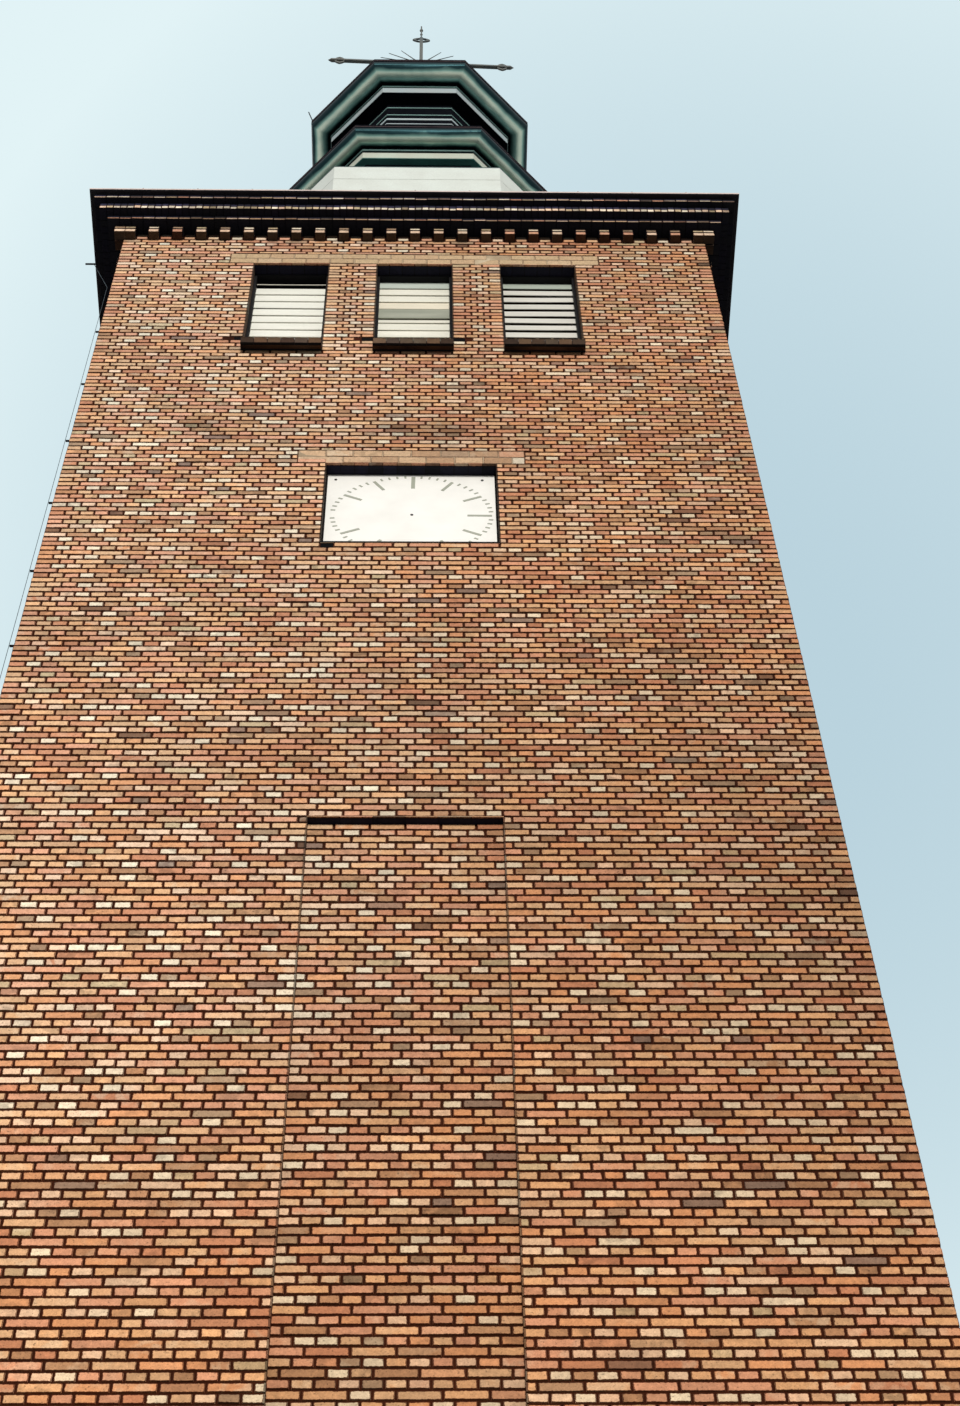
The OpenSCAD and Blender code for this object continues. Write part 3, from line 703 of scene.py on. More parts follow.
def stretcher_cuts(units, shifted):
    """Joints of a stretcher course that starts with a three-quarter bat, in header pitches"""
    cuts = {0, 1.5, units}
    cuts.update(np.arange(4.5 if shifted else 3.5, units - 0.3, 2))
    if shifted:
        cuts.add(2.5)
    # A whole side ends with a bat too, and the short strips beside the windows don't
    if shifted and units > 40:
        cuts.add(units - 1.5)
    return np.array(sorted(cuts))


# Courses of the front that were laid anew: the stretch, and its joints
RELAID = {268: ((-0.39, 0.001), (-0.332, -0.202, -0.0745, -0.0075))}

# Bricks that fell out beside the sills and under the clock on the front: course, from, to
LOST_BRICKS = (
    (322, -0.905, -0.860), (322, -0.262, -0.205), (322, 0.205, 0.262), (268, -0.388, -0.334),
)

# Stained patches on the front: middle, height, half width, half height and how dark they are
STAINS = (
    (-1.00, 11.617, 0.085, 0.09, 0.6),
    (-0.08, 11.58, 0.10, 0.06, 0.6),
    (0.16, 11.58, 0.10, 0.06, 0.6),
    (0.05, 11.50, 0.20, 0.10, 0.2),
    (0.632, 11.689, 0.05, 0.04, 0.65),
)

# A course that rises less than this past the foot of a head or a flat arch runs on over it
OVERLAP = 0.010

# Open joint between a flat arch and the bricks beside and over it
ARCH_JOINT, ARCH_BED = 0.002, 0.004

# Shortest run of facing, and shortest piece that a joint may leave at its end
LEAST_RUN, LEAST_BAT = 0.016, 0.024


def course_edges(course, bricks):
    """Foot and head of the bricks of a course"""
    return (course * bricks.course + bricks.bed_joint / 2,
            (course + 1) * bricks.course - bricks.bed_joint / 2)


class Run:
    """One run of bricks in a course: its ends, its joints, its depth and the corners that it turns"""

    def __init__(self, left, right, joints, out):
        self.left, self.right, self.joints, self.out = left, right, joints, out
        self.corners = [-1, -1]


def window_places(openings):
    """Middles of the three windows of a side"""
    return -openings.window_pitch, 0, openings.window_pitch


def course_runs(side, course, bricks, openings):
    """The runs of brick of one course, between the openings and flat arches that it meets"""
    foot, head = course * bricks.course, (course + 1) * bricks.course
    header_row = course % 2 != side % 2
    shifted = course // 2 % 2 == 0
    pitch = bricks.header_pitch
    units = round((2 * HALF + bricks.head_joint) / pitch)
    cuts = np.arange(units + 1) if header_row else stretcher_cuts(units, shifted)
    shaft = pitch * cuts - HALF - bricks.head_joint / 2
    if side == 0 and course in RELAID:
        (first, last), laid = RELAID[course]
        shaft = np.sort(np.append(shaft[(shaft < first) | (shaft > last)], laid))
    outer = openings.window_pitch + openings.window_half
    arches_top = openings.window_top + openings.arch_h
    reach = openings.arch_reach + ARCH_JOINT
    # Half width, foot, head and middle of each opening and flat arch, from left to right
    places = [(openings.niche_half, 0, openings.niche_top, 0),
              (openings.clock_half, openings.clock_sill, openings.clock_top, 0),
              (openings.clock_half + reach, openings.clock_top,
               openings.clock_top + openings.arch_h, 0)]
    places += [(openings.window_half, SILL_Z, openings.window_top, x) for x in window_places(openings)]
    places.append((outer + reach, openings.window_top, arches_top, 0))
    gaps = [(middle - half, middle + half) for half, low, high, middle in places
            if foot < high - OVERLAP and head > low + NEARLY]
    end = HALF + (bricks.proud if side % 2 == 0 else 0)
    edges = [-end] + [edge for gap in gaps for edge in gap] + [end]
    runs = [Run(left, right, shaft, bricks.proud) for left, right in zip(edges[::2], edges[1::2])]
    runs[0].corners[0], runs[-1].corners[1] = side, (side + 1) % 4

    # Beside and between the windows the bond starts anew from the openings
    if SILL_Z - NEARLY < foot < arches_top - OVERLAP:
        strip_units = round((HALF - outer) / pitch)
        strip_pitch = (HALF - outer + bricks.head_joint) / strip_units
        cuts = np.arange(strip_units + 1) if header_row else stretcher_cuts(strip_units, shifted)
        strip = outer - bricks.head_joint / 2 + strip_pitch * (strip_units - cuts[::-1])
        runs[0].joints, runs[-1].joints = -strip[::-1], strip
    if len(runs) == 4:
        pier = pitch * np.array([0, 1, 2, 3, 4] if header_row else [0, 1.5, 2.5, 4])
        runs[2].joints = openings.window_half - bricks.head_joint / 2 + pier
        runs[1].joints = -runs[2].joints[::-1]

    # The niche's own brickwork, with the doorway and its flat arch in the front one
    if head <= openings.niche_top + NEARLY:
        half, deep = openings.niche_half, bricks.proud - openings.niche_depth
        if side == 0 and foot < openings.door_top - NEARLY:
            runs.append(Run(-half, -openings.door_half, shaft, deep))
            runs.append(Run(openings.door_half, half, shaft, deep))
        elif side or foot > openings.door_top + openings.arch_h - OVERLAP:
            runs.append(Run(-half, half, shaft, deep))
    return runs


def rise(place, height=1):
    """A smooth step from nothing up to a height, half of it at place 0"""
    return height / (1 + np.exp(-place))


def hump(place, middle, width):
    """A smooth hump of height 1 over a middle"""
    return np.exp(-((place - middle) / width) ** 2)


def stain_bricks(side, middle_u, middle_z, fired):
    """Darkens the bricks under stained patches and, as painted shade, over the front's right half, and
    tints them where rain has brought out the orange
    """
    # Rain has washed the shaft orange up to about 6.9 m, and lime has paled it a little above that
    orange = rise((6.9 - middle_z) / 0.35)
    shade = 1.01 + 0.14 * hump(middle_z, 7.7, 1.1)
    if side == 0:
        # The right half is painted darker, as shade, most of all in the middle of the shaft, and is more
        # orange
        right_shade = 0.10 + 0.18 * hump(middle_z, 8, 1.3)
        shade = shade - right_shade * (1 + middle_u / HALF)
        orange = orange + rise((middle_u - 0.1) / 0.2, 0.8)
        # The niche is dirtier low down
        shade = shade - 0.09 * orange * (np.abs(middle_u) < 0.36)
        for u, z, wide, tall, dark in STAINS:
            near = np.exp(-((middle_u - u) / wide) ** 2 - ((middle_z - z) / tall) ** 2)
            shade = shade * (1 - dark * near)
    # The bricks are greyer from the clock's head upwards
    orange = np.clip(orange, 0, 1) - rise((middle_z - 12) / 0.5, 0.35)
    tint = np.stack([np.ones(len(orange)), 1 - 0.13 * orange, 1 - 0.26 * orange] * 2, axis=1)
    fired[:, :6] *= tint * shade[:, None]
    return fired


# Columns of a table of bricks: the last two tell whether an end is open to a recess or a window
LEFT, RIGHT, FOOT, HEAD, OUT, COURSE, CORNER, OPEN_LEFT, OPEN_RIGHT = range(9)


def brick_table(side, courses, bricks, openings):
    """The bricks of some courses of one side, a row each"""
    rows = []
    half_joint = bricks.head_joint / 2
    for course in courses:
        foot, head = course_edges(course, bricks)
        for run in course_runs(side, course, bricks, openings):
            if run.right - run.left < LEAST_RUN:
                continue
            inside = [j for j in run.joints if run.left + LEAST_BAT < j < run.right - LEAST_BAT]
            starts = [run.left] + [j + half_joint for j in inside]
            stops = [j - half_joint for j in inside] + [run.right]
            last = len(starts) - 1
            for k, (a, b) in enumerate(zip(starts, stops)):
                corner = max(run.corners[0] if k == 0 else -1, run.corners[1] if k == last else -1)
                rows.append((a, b, foot, head, run.out, course, corner,
                             k == 0 and run.corners[0] < 0, k == last and run.corners[1] < 0))
    return np.array(rows, float)


def lay_bricks(side, courses, bricks, openings, quoins):
    """The facing of some courses of one side: blocks, and the fired colour beside each opening"""
    table = brick_table(side, courses, bricks, openings)
    kiln = Kiln(bricks, "belfry" if courses[0] else "shaft", side)

    # Some stretchers are two headers
    split = (table[:, RIGHT] - table[:, LEFT] > 0.12) & (table[:, CORNER] < 0)
    split &= kiln.chance.random(len(table)) < bricks.split
    second = table[split].copy()
    middle = (second[:, LEFT] + second[:, RIGHT]) / 2
    second[:, LEFT] = middle + bricks.head_joint / 2
    table[split, RIGHT] = middle - bricks.head_joint / 2
    second[:, OPEN_LEFT], table[split, OPEN_RIGHT] = 0, 0
    table = np.concatenate([table, second])

    middle_u = (table[:, LEFT] + table[:, RIGHT]) / 2
    middle_z = (table[:, FOOT] + table[:, HEAD]) / 2
    # Bricks over a flat arch are cut to sit on it
    for half, top in arches_of(openings, side):
        seat = top + ARCH_BED
        over = (np.abs(middle_u) < half) & (table[:, HEAD] > seat + 0.004)
        over &= (table[:, FOOT] < seat) & (table[:, FOOT] > top - 0.012)
        table[over, FOOT] = seat

    # Faces longer than 80 mm are stretchers and bats
    fired = kiln.fire(len(table), long_face=table[:, RIGHT] - table[:, LEFT] > 0.08)
    fired = stain_bricks(side, middle_u, middle_z, fired)
    turns = table[:, CORNER] >= 0
    fired[turns] = quoins[table[turns, CORNER].astype(int), table[turns, COURSE].astype(int)]
    if side == 0:
        # A lost brick is set back and painted black, as the shade in its hollow
        for course, left, right in LOST_BRICKS:
            lost = (table[:, COURSE] == course) & (middle_u > left - 0.02) & (middle_u < right + 0.02)
            fired[lost, :6], fired[lost, 6] = 0.004, 0
            table[lost, OUT] = -0.001

    beside = {}
    for end, is_open in ((LEFT, OPEN_LEFT), (RIGHT, OPEN_RIGHT)):
        for index in np.nonzero(table[:, is_open])[0]:
            beside[int(table[index, COURSE]), round(table[index, end], 4)] = fired[index]

    blocks = Blocks()
    blocks.add(side, *face_corners(*table[:, :COURSE].T, bricks, kiln.chance), fired)
    return blocks, beside


def face_corners(left, right, foot, head, out, bricks, chance):
    """Corners of uneven brick faces, and of the bricks behind them in the mortar"""
    left, right, foot, head, out = np.broadcast_arrays(left, right, foot, head, out)
    error, size = bricks.unevenness, (len(left), 4)
    ends = np.stack([left, right, right, left], axis=1) + chance.normal(0, error, size) * 0.8
    up = np.stack([foot, foot, head, head], axis=1) + chance.normal(0, error, size) * 0.7
    face = out[:, None] + chance.normal(0, error, (len(left), 1))
    face = face + chance.normal(0, error, size) * 0.5
    inwards = np.array([[1, -1, -1, 1], [1, 1, -1, -1]]) * bricks.draft
    near = np.stack([ends + inwards[0], up + inwards[1], face], axis=-1)
    far = np.stack([ends, up, np.repeat(out[:, None], 4, 1) - bricks.proud - 0.003], axis=-1)
    return near, far


def arches_of(openings, side):
    """Half width and top of each flat arch in a side: the clock's, the windows' and the door's"""
    reach, height = openings.arch_reach, openings.arch_h
    windows = openings.window_pitch + openings.window_half
    arches = [(openings.clock_half + reach, openings.clock_top + height),
              (windows + reach, openings.window_top + height)]
    if side == 0:
        arches.append((openings.niche_half, openings.door_top + height))
    return arches


def quoin_colours(bricks):
    """One fired colour for each corner and course, so that a corner brick matches on both faces"""
    courses = round(LOWER_COURSE_Z / bricks.course) + 2
    corners = np.repeat(np.arange(4), courses)
    height = np.tile(np.arange(courses) * bricks.course, 4)
    # The corners of the front are those at its left and right ends
    place = np.where(corners == 1, HALF, -HALF)
    fired = Kiln(bricks, "corners").fire(4 * courses, long_face=True)
    front = (corners < 2)[:, None]
    fired = np.where(front, stain_bricks(0, place, height, fired.copy()),
                     stain_bricks(1, place, height, fired.copy()))
    return fired.reshape(4, courses, 8)


class Reveals:
    """Brick ends round the openings of one side, from how deep an opening is up to the facing"""

    def __init__(self, blocks, side, bricks, beside, kiln):
        self.blocks, self.side, self.bricks = blocks, side, bricks
        self.beside, self.kiln = beside, kiln

    def add_jamb(self, facing, half, low, high, deep, shade, middle=0, out=None):
        """Brick ends on one side of an opening: facing is 1 towards the right and -1 towards the left

        They match the bricks beside the opening, and shade is how much of that colour they keep.
        """
        out = self.bricks.proud if out is None else out
        edge = middle - facing * half
        first, last = (out, deep) if facing > 0 else (deep, out)
        for course in range(round(low / self.bricks.course), round(high / self.bricks.course)):
            foot, head = course_edges(course, self.bricks)
            fired = self.beside.get((course, round(edge, 4)))
            if fired is None:
                fired = self.kiln.fire(1, long_face=True)[0]
            near, far = [[(u, foot, first), (u, foot, last), (u, head, last), (u, head, first)]
                         for u in (edge + facing * 0.0022, edge - facing * 0.003)]
            self.blocks.add(self.side, near, far, np.concatenate([fired[:6] * shade, fired[6:]]))

    def add_soffit(self, half, z, deep, pitch, names, middle=0, clean=0.012):
        """Undersides of the bricks over an opening: nearly black with painted shade, but for a thin lit
        strip at the front
        """
        out = self.bricks.proud
        count = max(round(2 * half / pitch), 1)
        left, right = middle - half, middle + half
        step = (right - left) / count
        for k in range(count):
            a, b = left + k * step, left + (k + 1) * step
            # Deep in, the underside keeps only a trace of its colour as painted shade; the lit strip at
            # the front keeps most of it
            for back, front, lit_share in ((deep, out - clean, 0.03), (out - clean, out, 0.9)):
                fired = self.kiln.fire(1, names=[names[k % len(names)]])[0]
                fired[:6] = painted_shade(fired[:6], lit_share)[0] if lit_share < SHADED_ENDS else fired[:6] * lit_share
                near, far = [level(a, b, up, back, front) for up in (z - 0.002, z + 0.003)]
                self.blocks.add(self.side, near, far, fired)

    def add_ledge(self, half, z, deep):
        """Tops of the bricks that a recess stands on"""
        out = self.bricks.proud
        count = round(2 * half / self.bricks.header_pitch)
        step = 2 * half / count
        for k in range(count):
            a, b = -half + k * step + 0.002, -half + (k + 1) * step - 0.002
            near, far = level(a, b, z + 0.002, out, deep), level(a, b, z - 0.003, out, deep)
            self.blocks.add(self.side, near, far, self.kiln.fire(1, long_face=True)[0])


# Joints and colours of the big faces in the clock's flat arch, lower row and upper row
CLOCK_ARCH = (
    ((-0.314, -0.186, -0.059, 0.068, 0.200, 0.332, 0.464),
     ("tan", "tan", "brown", "tan", "brown", "tan", "brown", "cream")),
    ((-0.395, -0.268, -0.132, 0, 0.136, 0.266, 0.402),
     ("tan", "tan", "tan", "tan", "brown", "grey_brown", "brown", "red")),
)

# The lowest brick beside the front's clock, which runs on under the flat arch: left, right, foot, head
ARCH_FOOT = (-0.5225, -0.3945, 11.236, 11.267)


def flush_mortar(bricks):
    """Pale mortar, struck flush"""
    return shared("flush pale mortar", mortar, bricks.pale_mortar, "#8c745c")


def flat_arch(blocks, side, half, foot, out, bricks, height, kiln, rows, calm=0.0):
    """Two rows of big brick faces over an opening or over a row of them

    Calm is how far their colours are drawn towards the colour of a limed arch.
    """
    for row, (joints, names) in enumerate(rows):
        low = foot + row * height / 2 + 0.0015
        inside = [j for j in joints if abs(j) < half - 0.035]
        left = np.array([-half] + [j + 0.0009 for j in inside])
        right = np.array([j - 0.0009 for j in inside] + [half])
        count = len(left)
        fired = kiln.fire(count, names=[names[k % len(names)] for k in range(count)])
        # Lime has run over the faces and greyed them
        grey = fired[:, :6].reshape(-1, 2, 3).mean(axis=2, keepdims=True)
        limed = (0.80 * fired[:, :6].reshape(-1, 2, 3) + 0.05 * grey).reshape(-1, 6)
        fired[:, :6] = (1 - calm) * limed + calm * np.tile(bricks.arch[:3], 2)
        near, far = face_corners(left, right, low, low + height / 2 - 0.003, out, bricks, kiln.chance)
        blocks.add(side, near, far, fired)


class TOWER_OT_brickwork(bpy.types.Operator):
    """Faces the shaft and the belfry with single bricks in English cross bond"""

    bl_idname = "tower.brickwork"
    bl_label = "Facing bricks"

    def execute(self, context):
        bricks, openings = context.scene.tower_brickwork, context.scene.tower_openings
        brick = shared("wire-cut facing brick", facing_brick)
        raked = shared("raked lime mortar", mortar, bricks.mortar, "#2b1105")
        place_node([f"{side}_wall" for side in SIDES] + [f"belfry_wall_{side}" for side in SIDES],
                   raked)
        quoins = quoin_colours(bricks)
        sill_course = round(SILL_Z / bricks.course)
        dentil_course = round(DENTIL_Z / bricks.course)
        for side, name in enumerate(SIDES):
            kiln = Kiln(bricks, "reveals", side)
            shaft, beside = lay_bricks(side, range(sill_course), bricks, openings, quoins)
            add_shaft_reveals(Reveals(shaft, side, bricks, beside, kiln), openings)
            shaft.build(f"{name}_shaft_bricks", "brick", brick)
            belfry, beside = lay_bricks(side, range(sill_course, dentil_course), bricks, openings,
                                        quoins)
            add_belfry_reveals(Reveals(belfry, side, bricks, beside, kiln), openings)
            add_dentil_course(belfry, side, bricks, kiln)
            belfry.build(f"{name}_belfry_bricks", "brick", brick)
        self.add_hollows(bricks)
        return {"FINISHED"}

    def add_hollows(self, bricks):
        """Black plates over the holes where bricks fell out: painted shade in the hollows"""
        hollow_shades = Blocks()
        for course, left, right in LOST_BRICKS:
            hollow_shades.add_slab(0, left, right, course * bricks.course, (course + 1) * bricks.course,
                             0.001, -0.002)
        black = shared("shadowed mortar", mortar, "#050406", "#030304")
        hollow_shades.build("lost_brick_hollows", "brick", black)


def add_shaft_reveals(reveals, openings):
    """Brick ends in the jambs of the niche and the clock recess, and their heads and sill"""
    niche, clock = openings.niche_half, openings.clock_half
    proud, pitch = reveals.bricks.proud, reveals.bricks.header_pitch
    niche_back = proud - openings.niche_depth
    for facing in (1, -1):
        reveals.add_jamb(facing, niche, 0, openings.niche_top, niche_back, 0.3)
        reveals.add_jamb(facing, clock, openings.clock_sill, openings.clock_top,
                         -openings.clock_depth, 0.06)
    reveals.add_soffit(niche, openings.niche_top, -openings.niche_depth, 2 * pitch,
                       ("brown", "salmon", "dark", "brown", "grey_brown"), clean=0.006)
    reveals.add_soffit(clock, openings.clock_top, -openings.clock_depth, pitch,
                       ("red", "brown", "red", "dark"))
    reveals.add_ledge(clock, openings.clock_sill, -openings.clock_depth)
    if reveals.side == 0:
        for facing in (1, -1):
            reveals.add_jamb(facing, openings.door_half, 0, openings.door_top,
                             -openings.niche_depth - 0.06, 0.7, out=niche_back)


def add_belfry_reveals(reveals, openings):
    """Brick ends in the window jambs, and the undersides of the windows' flat arches"""
    half, top, back = openings.window_half, openings.window_top, -openings.window_depth
    for x in window_places(openings):
        for facing in (1, -1):
            reveals.add_jamb(facing, half, SILL_Z, top, back, 0.15, middle=x)
        reveals.add_soffit(half, top, back, reveals.bricks.header_pitch, ("brown", "red", "red"),
                           middle=x)


def add_dentil_course(blocks, side, bricks, kiln):
    """The headers that show between the dentils"""
    pitch = bricks.header_pitch
    reach = int(HALF / (2 * pitch))
    half = (pitch - bricks.head_joint) / 2
    middles = np.array([(2 * i + 1) * pitch for i in range(-reach, reach)])
    for row in range(2):
        foot = DENTIL_Z + row * bricks.course + bricks.bed_joint / 2
        head = foot + bricks.course - bricks.bed_joint
        near, far = face_corners(middles - half, middles + half, foot, head, bricks.proud, bricks,
                                 kiln.chance)
        fired = kiln.fire(len(middles), long_face=False)
        # The upper row is painted nearly black, as the shadow of the course above; the lower row keeps
        # its colour
        fired[:, :6] *= 0.95 if row == 0 else 0.04
        blocks.add(side, near, far, fired)


class TOWER_OT_flat_arches(bpy.types.Operator):
    """Lays the flat arches over the clocks, the windows and the door"""

    bl_idname = "tower.flat_arches"
    bl_label = "Flat arches"

    def execute(self, context):
        bricks, openings = context.scene.tower_brickwork, context.scene.tower_openings
        brick = shared("wire-cut facing brick", facing_brick)
        flush = flush_mortar(bricks)
        place_node(["clock_lintels", "belfry_lintels", "door_lintel"], flush)
        clock, belfry, door, backing = Blocks(), Blocks(), Blocks(), Blocks()
        height, out = openings.arch_h, bricks.proud
        evenly = 2 * bricks.header_pitch * np.arange(-8, 9)
        faces = ("tan", "pink_cream", "tan", "salmon", "tan", "olive")
        rows = ((evenly + bricks.header_pitch, faces), (evenly, faces[::-1]))
        for side in range(4):
            kiln = Kiln(bricks, "flat arches", side)
            clock_arch, belfry_arch = arches_of(openings, side)[:2]
            for half, top in (clock_arch, belfry_arch):
                backing.add_slab(side, -half + 0.001, half - 0.001, top - height + 0.001, top,
                                 out - 0.0012, -0.002)
            flat_arch(clock, side, clock_arch[0], openings.clock_top, out, bricks, height, kiln,
                      CLOCK_ARCH, calm=0.2)
            flat_arch(belfry, side, belfry_arch[0], openings.window_top, out, bricks, height, kiln,
                      rows, calm=0.8)
        clock.add_slab(0, *ARCH_FOOT, out + 0.0015, out, kiln.fire(1, names=["salmon"])[0])
        flat_arch(door, 0, openings.niche_half - 0.002, openings.door_top,
                  out - openings.niche_depth, bricks, height,
                  Kiln(bricks, "door arch"), CLOCK_ARCH)
        for blocks, name in ((clock, "clock_arch_bricks"), (belfry, "belfry_arch_bricks"),
                             (door, "door_arch_bricks")):
            blocks.build(name, "arch_brick", brick)
        backing.build("arch_pointing", "arch_brick", flush)
        return {"FINISHED"}


# Sill bricks to a window, and the open joint between two of them
SILL_BRICKS, SILL_JOINT = 6, 0.0014


class TOWER_OT_sills(bpy.types.Operator):
    """Lays the sloping sill bricks of the belfry windows"""

    bl_idname = "tower.sills"
    bl_label = "Sill bricks"

    def execute(self, context):
        bricks, openings = context.scene.tower_brickwork, context.scene.tower_openings
        brick = shared("wire-cut facing brick", facing_brick)
        sill_mortar = shared("sill mortar", mortar, "#5a4638", "#231915")
        place_node(["belfry_sills"], sill_mortar)
        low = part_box("belfry_sills")[0]
        reach, drop = -low.y - HALF, SILL_Z - low.z
        slope = math.atan2(drop, reach)
        along = np.array([math.cos(slope), -math.sin(slope)])
        normal = np.array([math.sin(slope), math.cos(slope)])
        # Outwards and upwards from the wall face at the sills' height
        bottom = np.array([reach, -drop]) + along * 0.002 - normal * 0.002
        top = bottom + normal * 0.036
        back = -along * (reach + openings.window_depth) / math.cos(slope)
        wide = 2 * openings.window_half / SILL_BRICKS
        blocks, lumps = Blocks(), Blocks()
        for side in range(4):
            kiln = Kiln(bricks, "sills", side)
            for x in window_places(openings):
                for k in range(SILL_BRICKS):
                    a = x - openings.window_half + k * wide + SILL_JOINT / 2
                    b = a + wide - SILL_JOINT
                    near = upright(a, b, SILL_Z + bottom[1], SILL_Z + top[1], bottom[0])
                    near[2:] = [(u, z, top[0]) for u, z, _ in near[2:]]
                    far = [(u, z + back[1], w + back[0]) for u, z, w in near]
                    fired = kiln.fire_one(("grey_brown", "dark", "brown", "purple_grey", "dark"))
                    fired[:6] *= 0.27
                    blocks.add(side, near, far, fired, under=0.02)
                    for _ in range(2):
                        self.add_lump(lumps, side, a, b, top, kiln.chance)
        blocks.build("sill_bricks", "sill_brick", brick)
        lumps.build("sill_pointing_lumps", "sill_brick", flush_mortar(bricks))
        return {"FINISHED"}

    def add_lump(self, lumps, side, left, right, edge, chance):
        """A crumb of pale mortar on the upper front edge of a sill brick"""
        u = chance.uniform(left, right - 0.012)
        wide, tall = chance.uniform(0.005, 0.012), chance.uniform(0.003, 0.006)
        z, out = SILL_Z + edge[1] - tall * 0.6, edge[0] - 0.002
        near = upright(u, u + wide, z, z + tall, out + 0.004)
        near[2:] = [(a, b, out + 0.003) for a, b, _ in near[2:]]
        lumps.add(side, near, upright(u, u + wide, z, z + tall, out - 0.004))


def ledge_row(blocks, side, reach, from_out, foot, head, pitch, kiln, names, clean, shade=1.0):
    """A row of bricks that juts out of the wall, darkened by painted shadow from what juts out above, but
    for a lit strip along their foot
    """
    half = HALF + (reach if side % 2 == 0 else from_out)
    count = round(2 * (HALF + reach) / pitch)
    edges = (HALF + reach) * (2 * np.arange(count + 1) / count - 1)
    edges = np.unique(np.clip(edges, -half, half))
    left, right = edges[:-1] + 0.002, edges[1:] - 0.002
    left[0], right[-1] = edges[0], edges[-1]
    total = len(left)
    fired = kiln.fire(total, names=list(kiln.chance.choice(names, total)))
    fired[:, :6] *= shade * kiln.chance.uniform(0.45, 1.15, (total, 1))
    face = reach + kiln.chance.normal(0, 0.0008, total)
    split = foot + clean * kiln.chance.uniform(0.85, 1.15, total)
    # The lit strip along the foot keeps its colour; above it, the bricks take the painted shadow of what
    # juts out over them
    for low, high, back, lit_share in ((np.full(total, foot), split, 0, 1),
                                  (split, np.full(total, head), 0.0006, OVERHANG_SHADOW)):
        near = np.moveaxis(np.array(upright(left, right, low, high, face - back)), 2, 0)
        far = near.copy()
        far[..., 2] = from_out
        shaded = fired.copy()
        if lit_share < 1:
            shaded[:, :6] = painted_shade(fired[:, :6], lit_share)
        blocks.add(side, near, far, shaded, under=0.012)


class TOWER_OT_cornice(bpy.types.Operator):
    """Lays the dentils, the two header courses and the rowlock course of the cornice"""

    bl_idname = "tower.cornice"
    bl_label = "Cornice bricks"

    def execute(self, context):
        bricks, cornice = context.scene.tower_brickwork, context.scene.tower_cornice
        brick = shared("wire-cut facing brick", facing_brick)
        # Nearly black, bluish mortar: painted shade on the undersides of the cornice's solids
        shaded = shared("sooty mortar", mortar, "#0e0d15", "#09080f")
        place_node(["cornice_dentils", "cornice_lower_course", "cornice_rowlock",
                    "cornice_top_course"], shaded)
        dentils, ledges = Blocks(), Blocks()
        proud, header = 0.0028, bricks.header_pitch
        for side in range(4):
            kiln = Kiln(bricks, "cornice", side)
            self.add_dentils(dentils, side, bricks, cornice, kiln, proud)
            ledge_row(ledges, side, cornice.lower_out + proud, 0.003, LOWER_COURSE_Z - proud,
                      LOWER_COURSE_Z + bricks.course - 0.003, header, kiln,
                      ["pink_cream", "tan", "salmon", "grey_brown"], 0.014, 0.7)
            ledge_row(ledges, side, cornice.rowlock_out + proud, cornice.lower_out - 0.01,
                      ROWLOCK_Z - 0.001, TOP_COURSE_Z - 0.003, cornice.rowlock_pitch, kiln,
                      ["cream", "pink_cream", "cream", "olive"], 0.028)
            ledge_row(ledges, side, cornice.top_out + proud, cornice.rowlock_out - 0.01,
                      TOP_COURSE_Z - 0.001, EDGE_Z - 0.002, header, kiln,
                      ["pink_cream", "cream", "purple_grey", "salmon", "olive"], 0.014, 0.8)
        dentils.build("dentil_bricks", "brick", brick)
        ledges.build("cornice_bricks", "brick", brick)
        return {"FINISHED"}

    def add_dentils(self, blocks, side, bricks, cornice, kiln, proud):
        """Two bricks a dentil, the upper one paler, and double ones at the corners"""
        pitch = 2 * bricks.header_pitch
        half = (bricks.header_pitch - bricks.head_joint) / 2
        reach = int((HALF - half) / pitch)
        places = [(i * pitch - half, i * pitch + half) for i in range(-reach + 1, reach)]
        outer = HALF + cornice.dentil_out + proud
        middle = HALF + (cornice.dentil_out - 2 * half) / 2
        if side % 2 == 0:
            places += [(middle + 0.002, outer), (-outer, -middle - 0.002)]
        places += [(HALF - 2 * half, middle - 0.002), (-middle + 0.002, -HALF + 2 * half)]
        for place, (a, b) in enumerate(places):
            # The double ones at the corners stand close together
            worn = 0.003 if place < 2 * reach - 1 else -0.001
            out = cornice.dentil_out + proud
            pinkish = kiln.fire_one(("pink_cream", "salmon", "pink_cream"))
            greyish = kiln.fire_one(("cream", "grey_brown", "olive"))
            # Each dentil's top is painted with the shadow of the course above, and its underside with
            # painted shade
            for foot, head, fired in ((-proud, 0.029, pinkish * 0.86), (0.042, 0.060, greyish * 0.86),
                                      (0.060, 0.075, greyish * OVERHANG_SHADOW)):
                blocks.add_slab(side, a + worn, b - worn, DENTIL_Z + foot, DENTIL_Z + head, out, 0.002,
                                fired, under=0.11)


# Clock

def disc(centre_u, centre_z, out, radius, thick, around=16):
    """A flat round head on the front: vertices as right, up, out, and faces"""
    points, faces = [], []
    for w in (out, out + thick):
        for k in range(around):
            a = 2 * math.pi * k / around
            points.append((centre_u + radius * math.cos(a), centre_z + radius * math.sin(a), w))
    faces.append(tuple(reversed(range(around))))
    faces.append(tuple(range(around, 2 * around)))
    for k in range(around):
        following = (k + 1) % around
        faces.append((k, following, around + following, around + k))
    return points, faces


# Screws on a plate, from the marks' middle, and the radius where the minute ticks start
SCREWS = ((-0.346, 0.330), (0.326, 0.329), (-0.34, -0.32), (0.33, -0.32))
TICK_START = 0.3465


